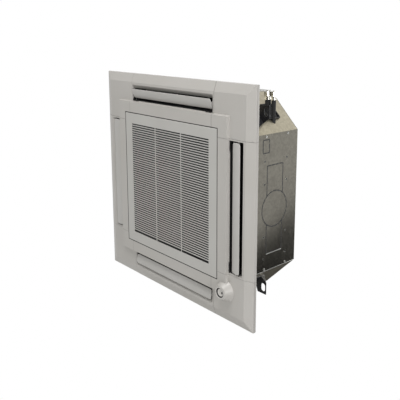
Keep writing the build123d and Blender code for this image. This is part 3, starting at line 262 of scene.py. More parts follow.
def galvanised(name, light, dark, roughness, spangle_mm=9.0, metallic=0.85):
    """Crystals that differ in brightness and gloss, mixed with soft clouds that are the bump as well."""
    made, tree, shader = new_material(name, Metallic=metallic)
    point = add(tree, "ShaderNodeTexCoord").outputs["Object"]
    cells = add(tree, "ShaderNodeTexVoronoi", {"Vector": point, "Scale": 1 / (spangle_mm * MM)})
    crystal = add(tree, "ShaderNodeSeparateColor", {"Color": cells.outputs["Color"]})
    cloud = add(tree, "ShaderNodeTexNoise", {"Vector": point, "Scale": CLOUDS_PER_M, "Detail": 4.0})
    both = {0: CLOUD_SHARE, 2: crystal.outputs["Red"], 3: cloud}
    mottle = add(tree, "ShaderNodeMix", both, data_type="FLOAT")
    ramp = add(tree, "ShaderNodeValToRGB", {"Fac": mottle})
    ramp.color_ramp.elements[0].position = 0.25
    ramp.color_ramp.elements[0].color = linear(dark)
    ramp.color_ramp.elements[1].position = 0.75
    ramp.color_ramp.elements[1].color = linear(light)
    spread = {"Value": crystal.outputs["Green"], "To Min": roughness - 0.02, "To Max": roughness + 0.03}
    gloss = add(tree, "ShaderNodeMapRange", spread)
    bump = add(tree, "ShaderNodeBump", {"Height": cloud, "Strength": 0.1, "Distance": CLOUD_DEEP * MM})
    tree.links.new(ramp.outputs["Color"], shader.inputs["Base Color"])
    tree.links.new(gloss.outputs["Result"], shader.inputs["Roughness"])
    tree.links.new(bump.outputs["Normal"], shader.inputs["Normal"])
    return made


case_zinc = galvanised("galvanised_steel_sheet", "#817e75", "#737068", 0.24, metallic=1.0)  # mirrors most
# The corners' paler base colour is painted light.
corner_zinc_painted_lighter = galvanised("galvanised_steel_corner_painted_lighter", "#b3ac98", "#a39c89", 0.34, metallic=0.9)  # yellower
screw_zinc = galvanised("zinc_plated_screw", "#b8b8b4", "#9c9c98", 0.3, 2.0)  # bright, fine crystals
print("with galvanised steels:", len(bpy.data.materials))

# %% [markdown]
# The other materials share one tree: a plain colour whose surface waves a little, at the size that each has.
# Powder coat has an orange peel of waves about 2 mm apart, foam and rubber have pores, drawn metal has faint
# long waves. Two of them have lines as well: the coil's fins, and the threads of the filter's net. The dark
# between the fins and between the threads is painted shade.

# %% Paint, rubber, foam and metals
WAVE_DEEP = 0.6
FIN_PITCH_MM = 3.0  # the real fins stand 1.3 mm apart, too fine to show
NET_PITCH_MM = 9.0  # the real threads cross every 1.5 mm, also too fine to show


def uneven(name, colour, roughness, wave_mm, strength, metallic=0.0):
    """One colour, up to 15 per cent lighter on the waves' tops and darker in the hollows, and the waves as
    a bump."""
    made, tree, shader = new_material(name, Roughness=roughness, Metallic=metallic)
    point = add(tree, "ShaderNodeTexCoord").outputs["Object"]
    wave = add(tree, "ShaderNodeTexNoise", {"Vector": point, "Scale": 1 / (wave_mm * MM), "Detail": 2.0})
    light = add(tree, "ShaderNodeMapRange", {"Value": wave, "To Min": 0.85, "To Max": 1.15})
    tone = add(tree, "ShaderNodeHueSaturation", {"Color": linear(colour), "Value": light})
    bump = add(tree, "ShaderNodeBump", {"Height": wave, "Strength": strength, "Distance": WAVE_DEEP * MM})
    tree.links.new(tone.outputs["Color"], shader.inputs["Base Color"])
    tree.links.new(bump.outputs["Normal"], shader.inputs["Normal"])
    return made


def striped(made, distances, dark, light, pitch_mm):
    """Stripes of a pitch across each distance: sin(2 pi d / pitch), sharpened, the lightest of them."""
    tree = made.node_tree
    per_metre = 2 * math.pi / (pitch_mm * MM)
    lines = []
    for distance in distances(tree):
        phase = add(tree, "ShaderNodeMath", {0: distance, 1: per_metre}, operation="MULTIPLY")
        wave = add(tree, "ShaderNodeMath", {0: phase}, operation="SINE")
        lines.append(add(tree, "ShaderNodeMapRange", {"Value": wave, "From Min": -0.4, "From Max": 0.4}))
    line = add(tree, "ShaderNodeMath", {0: lines[0], 1: lines[-1]}, operation="MAXIMUM")
    tone = add(tree, "ShaderNodeMix", {0: line, 6: linear(dark), 7: linear(light)}, data_type="RGBA")
    tree.links.new(tone.outputs[2], tree.nodes["Principled BSDF"].inputs["Base Color"])


hanger_coat = uneven("black_powder_coat", "#17171a", 0.38, 2.0, 0.25)  # a soft sheen in small ripples
sleeve_rubber = uneven("black_insulation_rubber", "#141414", 0.8, 1.5, 0.5)  # dull, with closed pores
gasket_foam = uneven("black_gasket_foam", "#1b1b1b", 0.95, 2.5, 0.7)  # duller still, with open pores
bead_foam = uneven("expanded_polystyrene", "#e9e9e6", 0.8, 4.0, 0.6)  # white, pebbled by its beads
net_pp = uneven("woven_filter_net", "#161718", 0.7, 1.2, 0.8)  # dark, with paler threads
board_epoxy = uneven("circuit_board_lacquer", "#1f5a31", 0.35, 3.0, 0.1)  # green and glossy
copper = uneven("drawn_copper", "#c07a52", 0.3, 6.0, 0.1, 1.0)  # warm and bright, with faint draw waves
brass_nut = uneven("tinned_brass", "#bdbcb6", 0.25, 3.0, 0.1, 1.0)  # bright, cool grey
motor_paint = uneven("motor_paint_grey", "#8a8c8f", 0.45, 3.0, 0.2)  # satin
fin_aluminium = uneven("aluminium_fins", "#b4b9bd", 0.4, 3.0, 0.3, 1.0)  # fine bright edges, dark between
# The dark stripes between the fins and between the net's threads are painted shade.
striped(fin_aluminium, lambda tree: plan(tree)[1:2], "#4c4f52", "#c3c8cc", FIN_PITCH_MM)
striped(net_pp, lambda tree: plan(tree)[:2], "#0d0e0f", "#2e3033", NET_PITCH_MM)
dark_lens, _, _ = new_material("smoked_lens", Base_Color=linear("#050506"), Roughness=0.08)  # black gloss
print("all finishes:", len(bpy.data.materials))

# %% [markdown]
# The record names a material slot for each node, so the finishes are given out by slot. The four cut corners
# have a finish of their own: yellower than the sides, and paler, which is painted light on their cut faces.

# %% Give each node its finish
FINISH = {
    "panel_plastic": panel_abs,
    "cover_plastic": panel_abs,
    "vane_plastic": vane_abs,
    "grille_plastic": grille_abs,
    "filter_plastic": filter_pp,
    "filter_net": net_pp,
    "dark_plastic": black_pp,
    "lens": dark_lens,
    "foam_strip": gasket_foam,
    "galvanised": case_zinc,
    "hanger_steel": hanger_coat,
    "foam": bead_foam,
    "coil": fin_aluminium,
    "copper": copper,
    "nut_brass": brass_nut,
    "rubber": sleeve_rubber,
    "fan_plastic": fan_pp,
    "motor": motor_paint,
    "steel": screw_zinc,
    "board": board_epoxy,
}
slot_of = {part["node"]: part["material_slot"] for part in frame["record"]["subparts"]}
for name, node in frame["nodes"].items():
    node.data.materials.clear()
    node.data.materials.append(FINISH[slot_of[name]])
# The cut corners get the paler zinc, whose extra brightness is painted light.
frame["nodes"]["case_corners"].data.materials[0] = corner_zinc_painted_lighter
print("dressed nodes:", len(slot_of))

# %% [markdown]
# Moulded plastic and pressed steel have no knife edges. A mould is cut with small radii so that the part
# fills and lets go, and those radii catch the light as thin bright lines. Each node's loose triangles are
# welded in a modifier, and a bevel then rounds every edge sharper than a set angle. The radii are typical
# ones: 1.2 mm on the large mouldings, less on thin ribs and folded sheet, and 2 mm on the pan's foam.

# %% Rounded edges
COVERS = [f"corner_cover_{place}" for place in ("sensor", "south_west", "north_west", "north_east")]
HANGERS = [f"hanger_{place}" for place in ("south_east", "south_west", "north_west", "north_east")]
ROUNDED = {
    0.5: ["filter_frame", "case_corners", "case_sides"],
    0.6: ["intake_grille", "top_plate", "control_tray", "control_cover"],
    0.8: ["pipe_plate", "drain_socket", "fan_hub", "pump_motor"],
    0.9: HANGERS,
    1.0: ["fan_motor"],
    1.2: ["panel_frame", *COVERS],
    2.0: ["drain_pan"],
}
WELD_MM = 0.01
SHARP = math.radians(32.0)


def round_edges(node, radius_mm):
    """Welds a node's triangles and rounds its sharp edges, in modifiers, so the node's own mesh stays."""
    weld = node.modifiers.new("weld", "WELD")
    weld.merge_threshold = WELD_MM * MM
    bevel = node.modifiers.new("round", "BEVEL")
    bevel.width = radius_mm * MM
    bevel.segments = 2
    bevel.limit_method = "ANGLE"
    bevel.angle_limit = SHARP
    bevel.harden_normals = False
    bevel.use_clamp_overlap = True


for radius, names in ROUNDED.items():
    for name in names:
        round_edges(frame["nodes"][name], radius)
    print(radius, "mm on", len(names), "nodes")

# %% [markdown]
# The new pieces are surfaces on a grid of two parameters, so one helper turns an array of points into a
# mesh. It takes the points as rows of closed sections, and either fans both ends shut or runs round. A
# second helper gives the mesh its body, its slot and its finish. The panel is alike on its four sides, so a
# third turns what was made for the east side to the others.

# %% Surface helpers
TURN = {"east": 0, "south": 90, "west": 180, "north": 270}


def grid_faces(rows, columns, closed):
    """Quads of a grid: point (i, j) joins (i, j+1), (i+1, j+1) and (i+1, j). Each row runs round to its
    first point, and where the grid is closed the last row joins the first."""
    i = np.arange(rows if closed else rows - 1)
    i, j = [g.ravel() for g in np.meshgrid(i, np.arange(columns), indexing="ij")]
    here, there = i * columns, (i + 1) % rows * columns
    k = (j + 1) % columns
    return np.stack([here + j, here + k, there + k, there + j], 1)


def tube(points):
    """Points and faces of a lofted tube: each row is a closed section, and a middle point shuts each end."""
    rows, columns, _ = points.shape
    ends = np.array([points[0].mean(0), points[-1].mean(0)])
    j = np.arange(columns)
    k = (j + 1) % columns
    last = (rows - 1) * columns
    low = np.stack([np.full(columns, rows * columns), k, j], 1)
    high = np.stack([np.full(columns, rows * columns + 1), last + j, last + k], 1)
    return np.vstack([points.reshape(-1, 3), ends]), [grid_faces(rows, columns, False), low, high]


def ring(points):
    """Points and faces of a surface that is closed in both directions, such as a liner or a bezel."""
    rows, columns, _ = points.shape
    return points.reshape(-1, 3), [grid_faces(rows, columns, True)]


def join(parts):
    """Several surfaces as one: the points are stacked, and each part's faces are shifted past the points
    before them."""
    points, faces, first = [], [], 0
    for part_points, part_faces in parts:
        points.append(part_points)
        faces += [face + first for face in part_faces]
        first += len(part_points)
    return np.vstack(points), faces


def spun(points, degrees):
    """Turns points about the upright axis: x' = x cos a - y sin a and y' = x sin a + y cos a."""
    c, s = math.cos(math.radians(degrees)), math.sin(math.radians(degrees))
    turned = points.copy()
    turned[..., 0] = points[..., 0] * c - points[..., 1] * s
    turned[..., 1] = points[..., 0] * s + points[..., 1] * c
    return turned


def on_each_side(parts):
    """The parts made for the east side, once on every side."""
    return [(spun(points, degrees), faces) for degrees in TURN.values() for points, faces in parts]


def piece(name, surface, body, finish, smooth=40.0):
    """Makes the mesh in millimetres, turns its faces outwards and hands the piece to its body."""
    points, faces = surface
    mesh = bpy.data.meshes.new(name)
    mesh.vertices.add(len(points))
    mesh.vertices.foreach_set("co", (points * MM).astype(np.float32).ravel())
    corners = np.concatenate([f.ravel() for f in faces])
    sizes = np.concatenate([np.full(len(f), f.shape[1]) for f in faces])
    starts = np.concatenate([[0], np.cumsum(sizes)[:-1]])
    mesh.loops.add(len(corners))
    mesh.loops.foreach_set("vertex_index", corners.astype(np.int32))
    mesh.polygons.add(len(sizes))
    mesh.polygons.foreach_set("loop_start", starts.astype(np.int32))
    mesh.update(calc_edges=True)
    work = bmesh.new()
    work.from_mesh(mesh)
    bmesh.ops.recalc_face_normals(work, faces=work.faces)
    work.to_mesh(mesh)
    work.free()
    mesh.polygons.foreach_set("use_smooth", np.ones(len(mesh.polygons), bool))
    mesh.set_sharp_from_angle(angle=math.radians(smooth))
    made = bpy.data.objects.new(name, mesh)
    scene.collection.objects.link(made)
    mesh.materials.append(finish)
    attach(made, body)
    print(name, len(mesh.polygons), "faces")
    return made


# %% [markdown]
# Behind each outlet a dark moulded liner carries the air down from the case. Its black is partly painted
# shade, standing in for the shade inside the duct, and it shows as the black gaps beside a vane. It is an
# oblong ring that leans with the duct's outer wall, and its lower lip stays deeper on that wall, where the
# pale plastic shows above the vane.

# %% Outlet liners
OUTLET_IN, OUTLET_OUT, OUTLET_TOP, OUTLET_END = 356.0, 426.0, 409.0, 262.0
FACE_Z, DUCT_TOP = -28.0, -11.0
LINER_TOP = DUCT_TOP - 0.5
LINER_WALL, LINER_GAP = 1.0, 0.35
LIP_IN, LIP_OUT = -26.5, -12.2


def liner():
    """Four rectangles, outer wall low and high, inner wall high and low. The outer side's x is interpolated
    between the duct's widths at its mouth and its top."""
    inner = LINER_GAP + LINER_WALL
    low, high = np.array([LIP_IN, LIP_OUT, LIP_OUT, LIP_IN]), np.full(4, LINER_TOP)
    rows = []
    for inset, z in ((LINER_GAP, low), (LINER_GAP, high), (inner, high), (inner, low)):
        lean = OUTLET_OUT + (OUTLET_TOP - OUTLET_OUT) * (z - FACE_Z) / (DUCT_TOP - FACE_Z)
        x = [OUTLET_IN + inset, lean[1] - inset, lean[2] - inset, OUTLET_IN + inset]
        y = OUTLET_END - inset
        rows.append(np.stack([x, [-y, -y, y, y], z], 1))
    return ring(np.array(rows))


# The liners' black is partly painted shade inside the ducts.
piece("outlet_liners", join(on_each_side([liner()])), "unit", black_pp)

# %% [markdown]
# Above the panel each duct goes on through the drain pan. The pan is white foam, and a thin black sleeve in
# the hole keeps the foam out of sight: a dark sheet of painted shade for the shade inside the duct.

# %% Duct sleeves
SLEEVE_LOW, SLEEVE_HIGH, SLEEVE_WALL = -7.6, 43.0, 0.9
SLEEVE_IN, SLEEVE_OUT, SLEEVE_END = 356.15, 408.7, 261.7
RIM_OUT, RIM_OUT_BACK, RIM_T = 1.6, 0.4, 0.8  # the rim's width, its width by the case, its thickness


def sleeve():
    """A tube of rectangular section: outer wall up, a rim turned out on top of the foam, inner wall down."""
    top = SLEEVE_HIGH + RIM_T
    section = [
        (0, SLEEVE_LOW), (0, SLEEVE_HIGH), (-RIM_OUT, SLEEVE_HIGH), (-RIM_OUT, top), (SLEEVE_WALL, top),
        (SLEEVE_WALL, SLEEVE_LOW),
    ]
    rows = []
    for inset, z in section:
        x0, x1, y = SLEEVE_IN + inset, SLEEVE_OUT - max(inset, -RIM_OUT_BACK), SLEEVE_END - inset
        rows.append([(x0, -y, z), (x1, -y, z), (x1, y, z), (x0, y, z)])
    return ring(np.array(rows, float))


# The black sleeves are painted shade that keeps the inside of each duct dark.
piece("duct_sleeves", join(on_each_side([sleeve()])), "unit", black_pp)

# %% [markdown]
# Round things are turned on a lathe in the real factory, and here too: a profile of radius and height is
# carried round an axis. Where a height is marked as hexagonal, the radius is cut back to the flats, so the
# cone of a chamfer meets the flats in the curved edges that every nut shows.

# %% A lathe


def lathe(profile, centre, axis="z", columns=48, across=0.0, closed=False):
    """Carries (radius, height[, 1 for hexagonal]) round an axis. On a hexagonal row the radius is
    min(R, across / 2 / cos w), and w is the angle from the middle of the nearest flat."""
    rows = np.array([(*p, 0)[:3] for p in profile], float)
    phi = np.linspace(0, 2 * np.pi, columns, endpoint=False)
    w = (phi + np.pi / 6) % (np.pi / 3) - np.pi / 6
    flat = np.where(rows[:, 2:] > 0, across / 2 / np.cos(w), np.inf)
    radius = np.minimum(rows[:, :1], flat)
    a, b, h = radius * np.cos(phi), radius * np.sin(phi), np.repeat(rows[:, 1:2], columns, 1)
    points = np.stack({"x": (h, a, b), "y": (b, h, a), "z": (a, b, h)}[axis], 2) + np.array(centre, float)
    return ring(points) if closed else tube(points)


# %% [markdown]
# An air vane is a shallow moulded trough with a rounded lip along both long edges and rounded ends. It
# hangs on two arms, whose pins turn in the duct's end walls. The section is a flattened ellipse bent to an
# arc, thicker at its lips, and it narrows to the ends like the corner of a playing card.

# %% Air vanes
VANE_X, VANE_Z, VANE_HALF, VANE_CHORD = 392.0, -17.0, 256.0, 43.0
VANE_SAG, VANE_T, VANE_DROP, VANE_ROUND = 3.0, 3.0, 15.0, 9.0
VANE_TILT = {"east": 9.0, "south": 8.0, "west": 4.0, "north": 22.0}  # degrees from level, as photographed
LIP_SWELL, LIP_SPREAD, SECTION_POWER = 0.5, 2.4, 0.4
END_BACK, END_ROUND, END_THIN = 1.5, 1.7, 0.05
PIN_R, PIN_END, PIN_CHAMFER, ARM_T, ARM_R = 3.0, 268.5, 0.6, 4.0, 6.0
ARM_FOOT = [(-7, -9), (-9, 2.5 - VANE_DROP), (9, 2.5 - VANE_DROP), (7, -9)]  # from the pin, x and z
ARM_SOFT = [(0, 0.93), (0.5, 1.0), (ARM_T - 0.5, 1.0), (ARM_T, 0.93)]  # depth, and the outline's scale there


def vane_blade():
    """x = c(y) cos t, z = arc(x) + h(x) sgn(sin t) |sin t|^0.4, where c narrows to the ends on a quarter
    circle and h grows by half at the lips and thins in the last millimetre and a half."""
    y = VANE_HALF * np.sin(np.linspace(-np.pi / 2, np.pi / 2, 61))[:, None]
    t = np.linspace(0, 2 * np.pi, 72, endpoint=False)[None, :]
    over = np.clip(np.abs(y) - (VANE_HALF - VANE_ROUND), 0, VANE_ROUND)
    c = VANE_CHORD / 2 - VANE_ROUND + np.sqrt(VANE_ROUND**2 - over**2)
    x = c * np.cos(t)
    h = VANE_T / 2 * (1 + LIP_SWELL * np.exp(-(((c - np.abs(x)) / LIP_SPREAD) ** 2)))
    end = ((np.abs(y) - VANE_HALF + END_BACK).clip(0) / END_ROUND) ** 2
    h = h * np.sqrt(np.clip(1 - end, END_THIN, 1))
    arc = VANE_Z - VANE_DROP + VANE_SAG * (2 * x / VANE_CHORD) ** 2 + VANE_T / 2
    z = arc + h * np.sign(np.sin(t)) * np.abs(np.sin(t)) ** SECTION_POWER
    return tube(np.stack([VANE_X + x, np.broadcast_to(y, x.shape), z], 2))


def vane_arm(s):
    """A plate that runs from the blade up to the pin: a half circle on top, a wider foot, softened faces."""
    t = np.linspace(0, np.pi, 13)
    outline = np.vstack([np.stack([ARM_R * np.cos(t), ARM_R * np.sin(t)], 1), ARM_FOOT])
    middle = outline.mean(0)
    rows = []
    for depth, scale in ARM_SOFT:
        flat = middle + (outline - middle) * scale
        y = np.full(len(flat), s * (VANE_HALF - ARM_T + depth))
        rows.append(np.stack([VANE_X + flat[:, 0], y, VANE_Z + flat[:, 1]], 1))
    return tube(np.array(rows))


def tilted(points, degrees):
    """Turns points about the pins' line, x' = x cos a + z sin a and z' = z cos a - x sin a."""
    c, s = math.cos(math.radians(degrees)), math.sin(math.radians(degrees))
    turned = points.copy()
    dx, dz = points[:, 0] - VANE_X, points[:, 2] - VANE_Z
    turned[:, 0] = VANE_X + dx * c + dz * s
    turned[:, 2] = VANE_Z + dz * c - dx * s
    return turned


for side, tilt in VANE_TILT.items():
    parts = [vane_blade()]
    for s in (-1, 1):
        parts.append(vane_arm(s))
        pin = [(PIN_R, VANE_HALF - 1), (PIN_R, PIN_END - PIN_CHAMFER), (PIN_R - PIN_CHAMFER, PIN_END)]
        parts.append(lathe([(r, s * y) for r, y in pin], (VANE_X, 0, VANE_Z), "y", 24))
    points, faces = join(parts)
    surface = (spun(tilted(points, tilt), TURN[side]), faces)
    vane = piece(f"air_vane_{side}", surface, f"vane_{side}", vane_abs)
    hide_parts(f"vane_{side}")

# %% [markdown]
# The presence sensor turns in a conical boss. A deep groove runs between the rim of its face and the pale
# dish, with a black ring in it that is painted shade, and a dark lens stands a little off the dish's middle,
# in a thin black bezel.

# %% Sensor head and lens
EYE_X, EYE_Y, EYE_OFF = 338.0, 342.0, 9.0
HEAD_FACE, HEAD_R, AXLE_R, AXLE_TOP = -61.0, 24.0, 4.0, -18.0
HEAD_AT, LENS_AT = (EYE_X, EYE_Y, 0), (EYE_X + EYE_OFF, EYE_Y, 0)
AXLE = [(AXLE_R, AXLE_TOP), (AXLE_R, -44.6), (17, -44.8), (19, -45.2), (23.4, -46.8), (HEAD_R, -47.8)]
HEAD_RIM = [
    (HEAD_R, -60.0), (23.7, -60.7), (23.1, HEAD_FACE), (20.9, HEAD_FACE), (20.2, -60.6), (19.6, -59.2),
]
GROOVE = [(19.2, -51.4), (18.6, -50.6), (16.6, -50.6), (16.0, -51.2), (15.8, -56.4)]
DISH = [
    (15.3, -57.1), (14.2, -57.3), (13.0, -56.7), (11.0, -55.6), (8, -55.0), (5, -55.0), (2.4, -55.6),
    (0.8, -56.0),
]
LENS = [(3.2, -54.2), (3.5, -54.4), (3.5, -56.4), (3.3, -57.1), (2.8, -57.6), (1.9, -57.9), (0.7, -58.0)]
BEZEL = [(3.55, -55.0), (3.55, -56.6), (3.8, -56.9), (4.4, -56.7), (4.8, -55.0)]
GROOVE_SHADE_RING = [
    (20.0, -60.3), (19.35, -60.5), (18.9, -59.6), (18.6, -51.6), (16.4, -51.2), (16.4, -50.9), (19.2, -50.9),
]

head_surface = lathe(AXLE + HEAD_RIM + GROOVE + DISH, HEAD_AT, columns=72)
head = piece("sensor_head", head_surface, "sensor", boss_abs)
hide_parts("sensor_turret")
eye = piece("sensor_lens", lathe(LENS, LENS_AT, columns=32), "sensor", dark_lens)
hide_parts("sensor_eye")
# The black ring in the groove is painted shade.
groove_shade_ring = lathe(GROOVE_SHADE_RING, HEAD_AT, columns=72, closed=True)
piece("sensor_groove", groove_shade_ring, "sensor", black_pp)
thin_ring = lathe(BEZEL, LENS_AT, columns=32, closed=True)
piece("sensor_bezel", thin_ring, "sensor", black_pp)

# %% [markdown]
# The case is screwed together with small hexagon screws that have a washer forged under the head. The
# flare nuts on the pipes are machined from brass bar and tinned: a hexagon with chamfered ends, then a
# round collar with a shallow groove. Each pipe's end has a tinned cap until the fitter opens it.

# %% Screws, nuts and caps
BODY_HALF, SCREW_AT = 420.0, 267.0
SCREW_LEVELS = (103.0, 228.0)
SCREW_ACROSS = 8.0
WASHER = [(5.3, -0.1), (5.3, 0.35), (5.0, 0.7), (4.3, 0.9)]
SCREW_HEAD = [
    (4.62, 0.95, 1), (4.62, 2.2, 1), (4.2, 2.55, 1), (3.4, 2.6), (3.0, 2.5), (2.5, 2.1), (0.6, 2.0),
]
PIPE_Z, NUT_START, NUT_L = 186.0, -430.0, 34.0
PIPES = {"gas_pipe": (350, 7.94, 29), "liquid_pipe": (380, 4.76, 22)}  # x, the pipe's radius, the nut's flats
BORE_FIT, CAP_T = 0.02, 0.5

places = [(BODY_HALF, at, z) for at in (-SCREW_AT, SCREW_AT) for z in SCREW_LEVELS]
one_side = [lathe(WASHER + SCREW_HEAD, place, "x", 24, SCREW_ACROSS) for place in places]
screws = piece("hexagon_screws", join(on_each_side(one_side)), "unit", screw_zinc, 30)
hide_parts("case_screws")


def flare_nut(x, bore, across):
    """A closed profile with its bore: chamfered hexagon, neck, grooved collar."""
    corner, chamfer, neck, collar = across / math.sqrt(3), across * 0.06, across * 0.42, across * 0.4
    end = 0.6 * NUT_L
    hexagon = [
        (bore, 0), (across * 0.44, 0), (across * 0.47, 0.2), (corner, chamfer, 1), (corner, end - chamfer, 1),
        (across * 0.47, end - 0.2), (neck, end),
    ]
    groove = [(collar, end + 4), (collar - 0.8, end + 4.6), (collar - 0.8, end + 6), (collar, end + 6.6)]
    tail = [(collar, NUT_L - 1), (collar - 1, NUT_L), (bore, NUT_L)]
    return lathe(hexagon + [(collar, end + 1)] + groove + tail, (x, NUT_START, PIPE_Z), "y", 72, across, True)


def pipe_cap(x, pipe_r, end):
    """A turned cap over the pipe's end, with a low step where its skirt begins."""
    r = pipe_r + CAP_T
    skirt = r + 0.7
    nose = [(0.5, end - 0.9), (r - 1.2, end - 0.9), (r, end - 0.3), (r, end + 1.5)]
    return lathe(nose + [(skirt, end + 1.7), (skirt, NUT_START - 0.05)], (x, 0, PIPE_Z), "y", 40)


nut_set = join([flare_nut(x, r + BORE_FIT, across) for x, r, across in PIPES.values()])
nuts = piece("tinned_nuts", nut_set, "unit", brass_nut, 25)
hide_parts("flare_nuts")
caps = []
for name, (x, pipe_r, _) in PIPES.items():
    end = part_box(name)[0][1] / MM
    caps.append(pipe_cap(x, pipe_r, end))
    print(name, "ends at y", round(float(end), 1))
piece("pipe_caps", join(caps), "unit", brass_nut, 25)

# %% [markdown]
# Behind the open grille a turbo fan draws the air in and throws it outwards. Its seven blades are hollow
# mouldings with an aerofoil's section: thick near the leading edge, thin at the tail, and curved back along
# an arc. Each stands on the fan's ring, so its lower edge follows the ring's rising line.

# %% Fan blades
BLADES, BLADE_TOP, BLADE_LOW, BLADE_THICK = 7, 200.0, 60.0, 8.0
BLADE_ARC = ((158.0, 0.0), (189.2, -54.3), (196.5, -132.5))  # nose, middle and tail, seen from above
BLADE_SKIN, BLADE_SINK, FOOT_DROP = 0.5, 0.5, 12.0  # all round, into the hub, the foot below BLADE_LOW
RING_LINE = np.array([(209, 46), (211, 60), (224, 75), (240, 80)], float)  # the ring's radius and height
RING_GAP = 1.0


def circle_through(a, b, c):
    """Centre and radius of the circle through three points, from the two lines that halve its chords."""
    rows = 2 * np.array([b - a, c - a])
    centre = np.linalg.solve(rows, [b @ b - a @ a, c @ c - a @ a])
    return centre, np.hypot(*(centre - a))


def fan_blade():
    """The arc's point at u, moved to either side along the arc's radius by the half thickness of an aerofoil,
    5 T (0.2969 sqrt(u) - 0.126 u - 0.3516 u^2 + 0.2843 u^3 - 0.0936 u^4) plus a skin, with
    u = (1 - cos t) / 2 so that points crowd at both ends. z runs up into the hub, from just above the ring
    where the blade stands on it, and from BLADE_LOW elsewhere."""
    t = np.linspace(0, 2 * np.pi, 64, endpoint=False)
    u = (1 - np.cos(t)) / 2
    nose, middle, tail = np.array(BLADE_ARC)
    centre, radius = circle_through(nose, middle, tail)
    first, last = (math.atan2(*(p - centre)[::-1]) for p in (nose, tail))
    series = 0.2969 * np.sqrt(u) - 0.126 * u - 0.3516 * u**2 + 0.2843 * u**3 - 0.0936 * u**4
    out = radius + (5 * BLADE_THICK * series + BLADE_SKIN) * np.sign(np.sin(t))
    w = first + (last - first) * u
    x, y = centre[0] + out * np.cos(w), centre[1] + out * np.sin(w)
    far = np.hypot(x, y)
    on_ring = np.interp(far, RING_LINE[:, 0], RING_LINE[:, 1] + RING_GAP)
    foot = np.where(far > RING_LINE[0, 0], on_ring, BLADE_LOW)
    foot = np.maximum(foot, BLADE_LOW - FOOT_DROP)
    z = foot + (BLADE_TOP + BLADE_SINK - foot) * np.linspace(0, 1, 9)[:, None]
    return tube(np.stack([np.broadcast_to(x, z.shape), np.broadcast_to(y, z.shape), z], 2))


points, faces = fan_blade()
blades = join([(spun(points, 360 * k / BLADES), faces) for k in range(BLADES)])
blade_set = piece("turbo_blades", blades, "fan", fan_pp, 50)
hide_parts("fan_blades")

# %% [markdown]
# The hanger's flange would fold under the unit's weight if its two sides stood alone, so each is stiffened
# by a web that runs from the flange's edge up to the wall's head. The webs are thin plates, made here from
# a triangle that is given its thickness along its own normal.

# %% Hanger webs
WEB_T = 2.4
WEB_SOFT = [(0, 0.97), (0.2, 1.0), (0.8, 1.0), (1, 0.97)]  # share of the thickness, and the outline's scale
WEB_INSIDE = (392, 352, 127)  # each web gets its thickness towards this point
WEBS = [
    ((383.4, 313.9, 127.6), (411.6, 333.6, 127.6), (374.2, 324.4, 159.0)),
    ((353.9, 343.4, 127.6), (368.6, 383.4, 127.6), (364.4, 334.2, 159.0)),
]


def web(corners):
    """A triangle with a thickness: the second face is the first one moved along the normal, inwards."""
    triangle = np.array(corners, float)
    normal = np.cross(triangle[1] - triangle[0], triangle[2] - triangle[0])
    normal /= np.linalg.norm(normal)
    if np.dot(np.array(WEB_INSIDE) - triangle[0], normal) < 0:
        normal = -normal
    halfway = (triangle + np.roll(triangle, -1, 0)) / 2
    outline = np.stack([triangle, halfway], 1).reshape(-1, 3)
    middle = triangle.mean(0)
    rows = [middle + (outline - middle) * scale + normal * WEB_T * depth for depth, scale in WEB_SOFT]
    return tube(np.array(rows))


webs = []
for flip in ((x, y, 1.0) for x in (-1, 1) for y in (-1, 1)):
    webs += [(points * np.array(flip), faces) for points, faces in map(web, WEBS)]
piece("hanger_webs", join(webs), "unit", hanger_coat, 25)

# %% [markdown]
# A duct blank is held in the case's side by a line of punched slots with small tabs between them, so that
# a fitter can knock it out. The slots show as a black dashed line. Each is a short thin black bar in the gap
# between the blank and the sheet, along the blank's outline, painted shade for the dark inside the slot. The
# real slots are about 3 mm wide, and they are drawn wider so that they show. Round the blank eight screw
# holes wait for a duct's flange, in mirror pairs about its middle, each a black disc of painted shade.

# %% Punched slots and holes
BLANK_Y, BLANK_Z, BLANK_L, BLANK_H, BLANK_R = 25.0, 157.0, 354.0, 90.0, 72.0
SMALL_Y, SMALL_Z, SMALL_L, SMALL_H = -230.0, 103.0, 50.0, 34.0
SLOT_W, SLOT_L, TAB_L, SLOT_PROUD, SLOT_DEEP, SLOT_GAP = 4.8, 21.0, 3.0, 0.1, 1.2, 0.6
HOLE_OFF, HOLE_LEVELS, HOLE_R, BURR_R = (107.0, 197.0), (97.0, 225.0), 4.0, 4.8


def along(outline):
    """Cuts a run of points into slots with tabs between: returns the centre line of each slot."""
    steps = np.linalg.norm(np.diff(outline, axis=0), axis=1)
    at = np.concatenate([[0], np.cumsum(steps)])
    count = max(1, int(round(at[-1] / (SLOT_L + TAB_L))))
    pitch = at[-1] / count
    inside = np.linspace(TAB_L / 2, pitch - TAB_L / 2, 7)
    starts = (np.arange(count) * pitch)[:, None] + inside[None, :]
    return np.stack([np.interp(starts, at, outline[:, k]) for k in (0, 1)], 2)


def slot_bar(line):
    """A bar of rectangular section along a centre line in the side's plane."""
    way = np.gradient(line, axis=0)
    across = np.stack([-way[:, 1], way[:, 0]], 1) / np.linalg.norm(way, axis=1)[:, None] * SLOT_W / 2
    front = BODY_HALF + SLOT_PROUD
    back = front - SLOT_DEEP
    corners = [(across, front), (-across, front), (-across, back), (across, back)]
    rows = [np.column_stack([np.full(len(line), x), line + off]) for off, x in corners]
    return tube(np.array(rows).transpose(1, 0, 2))


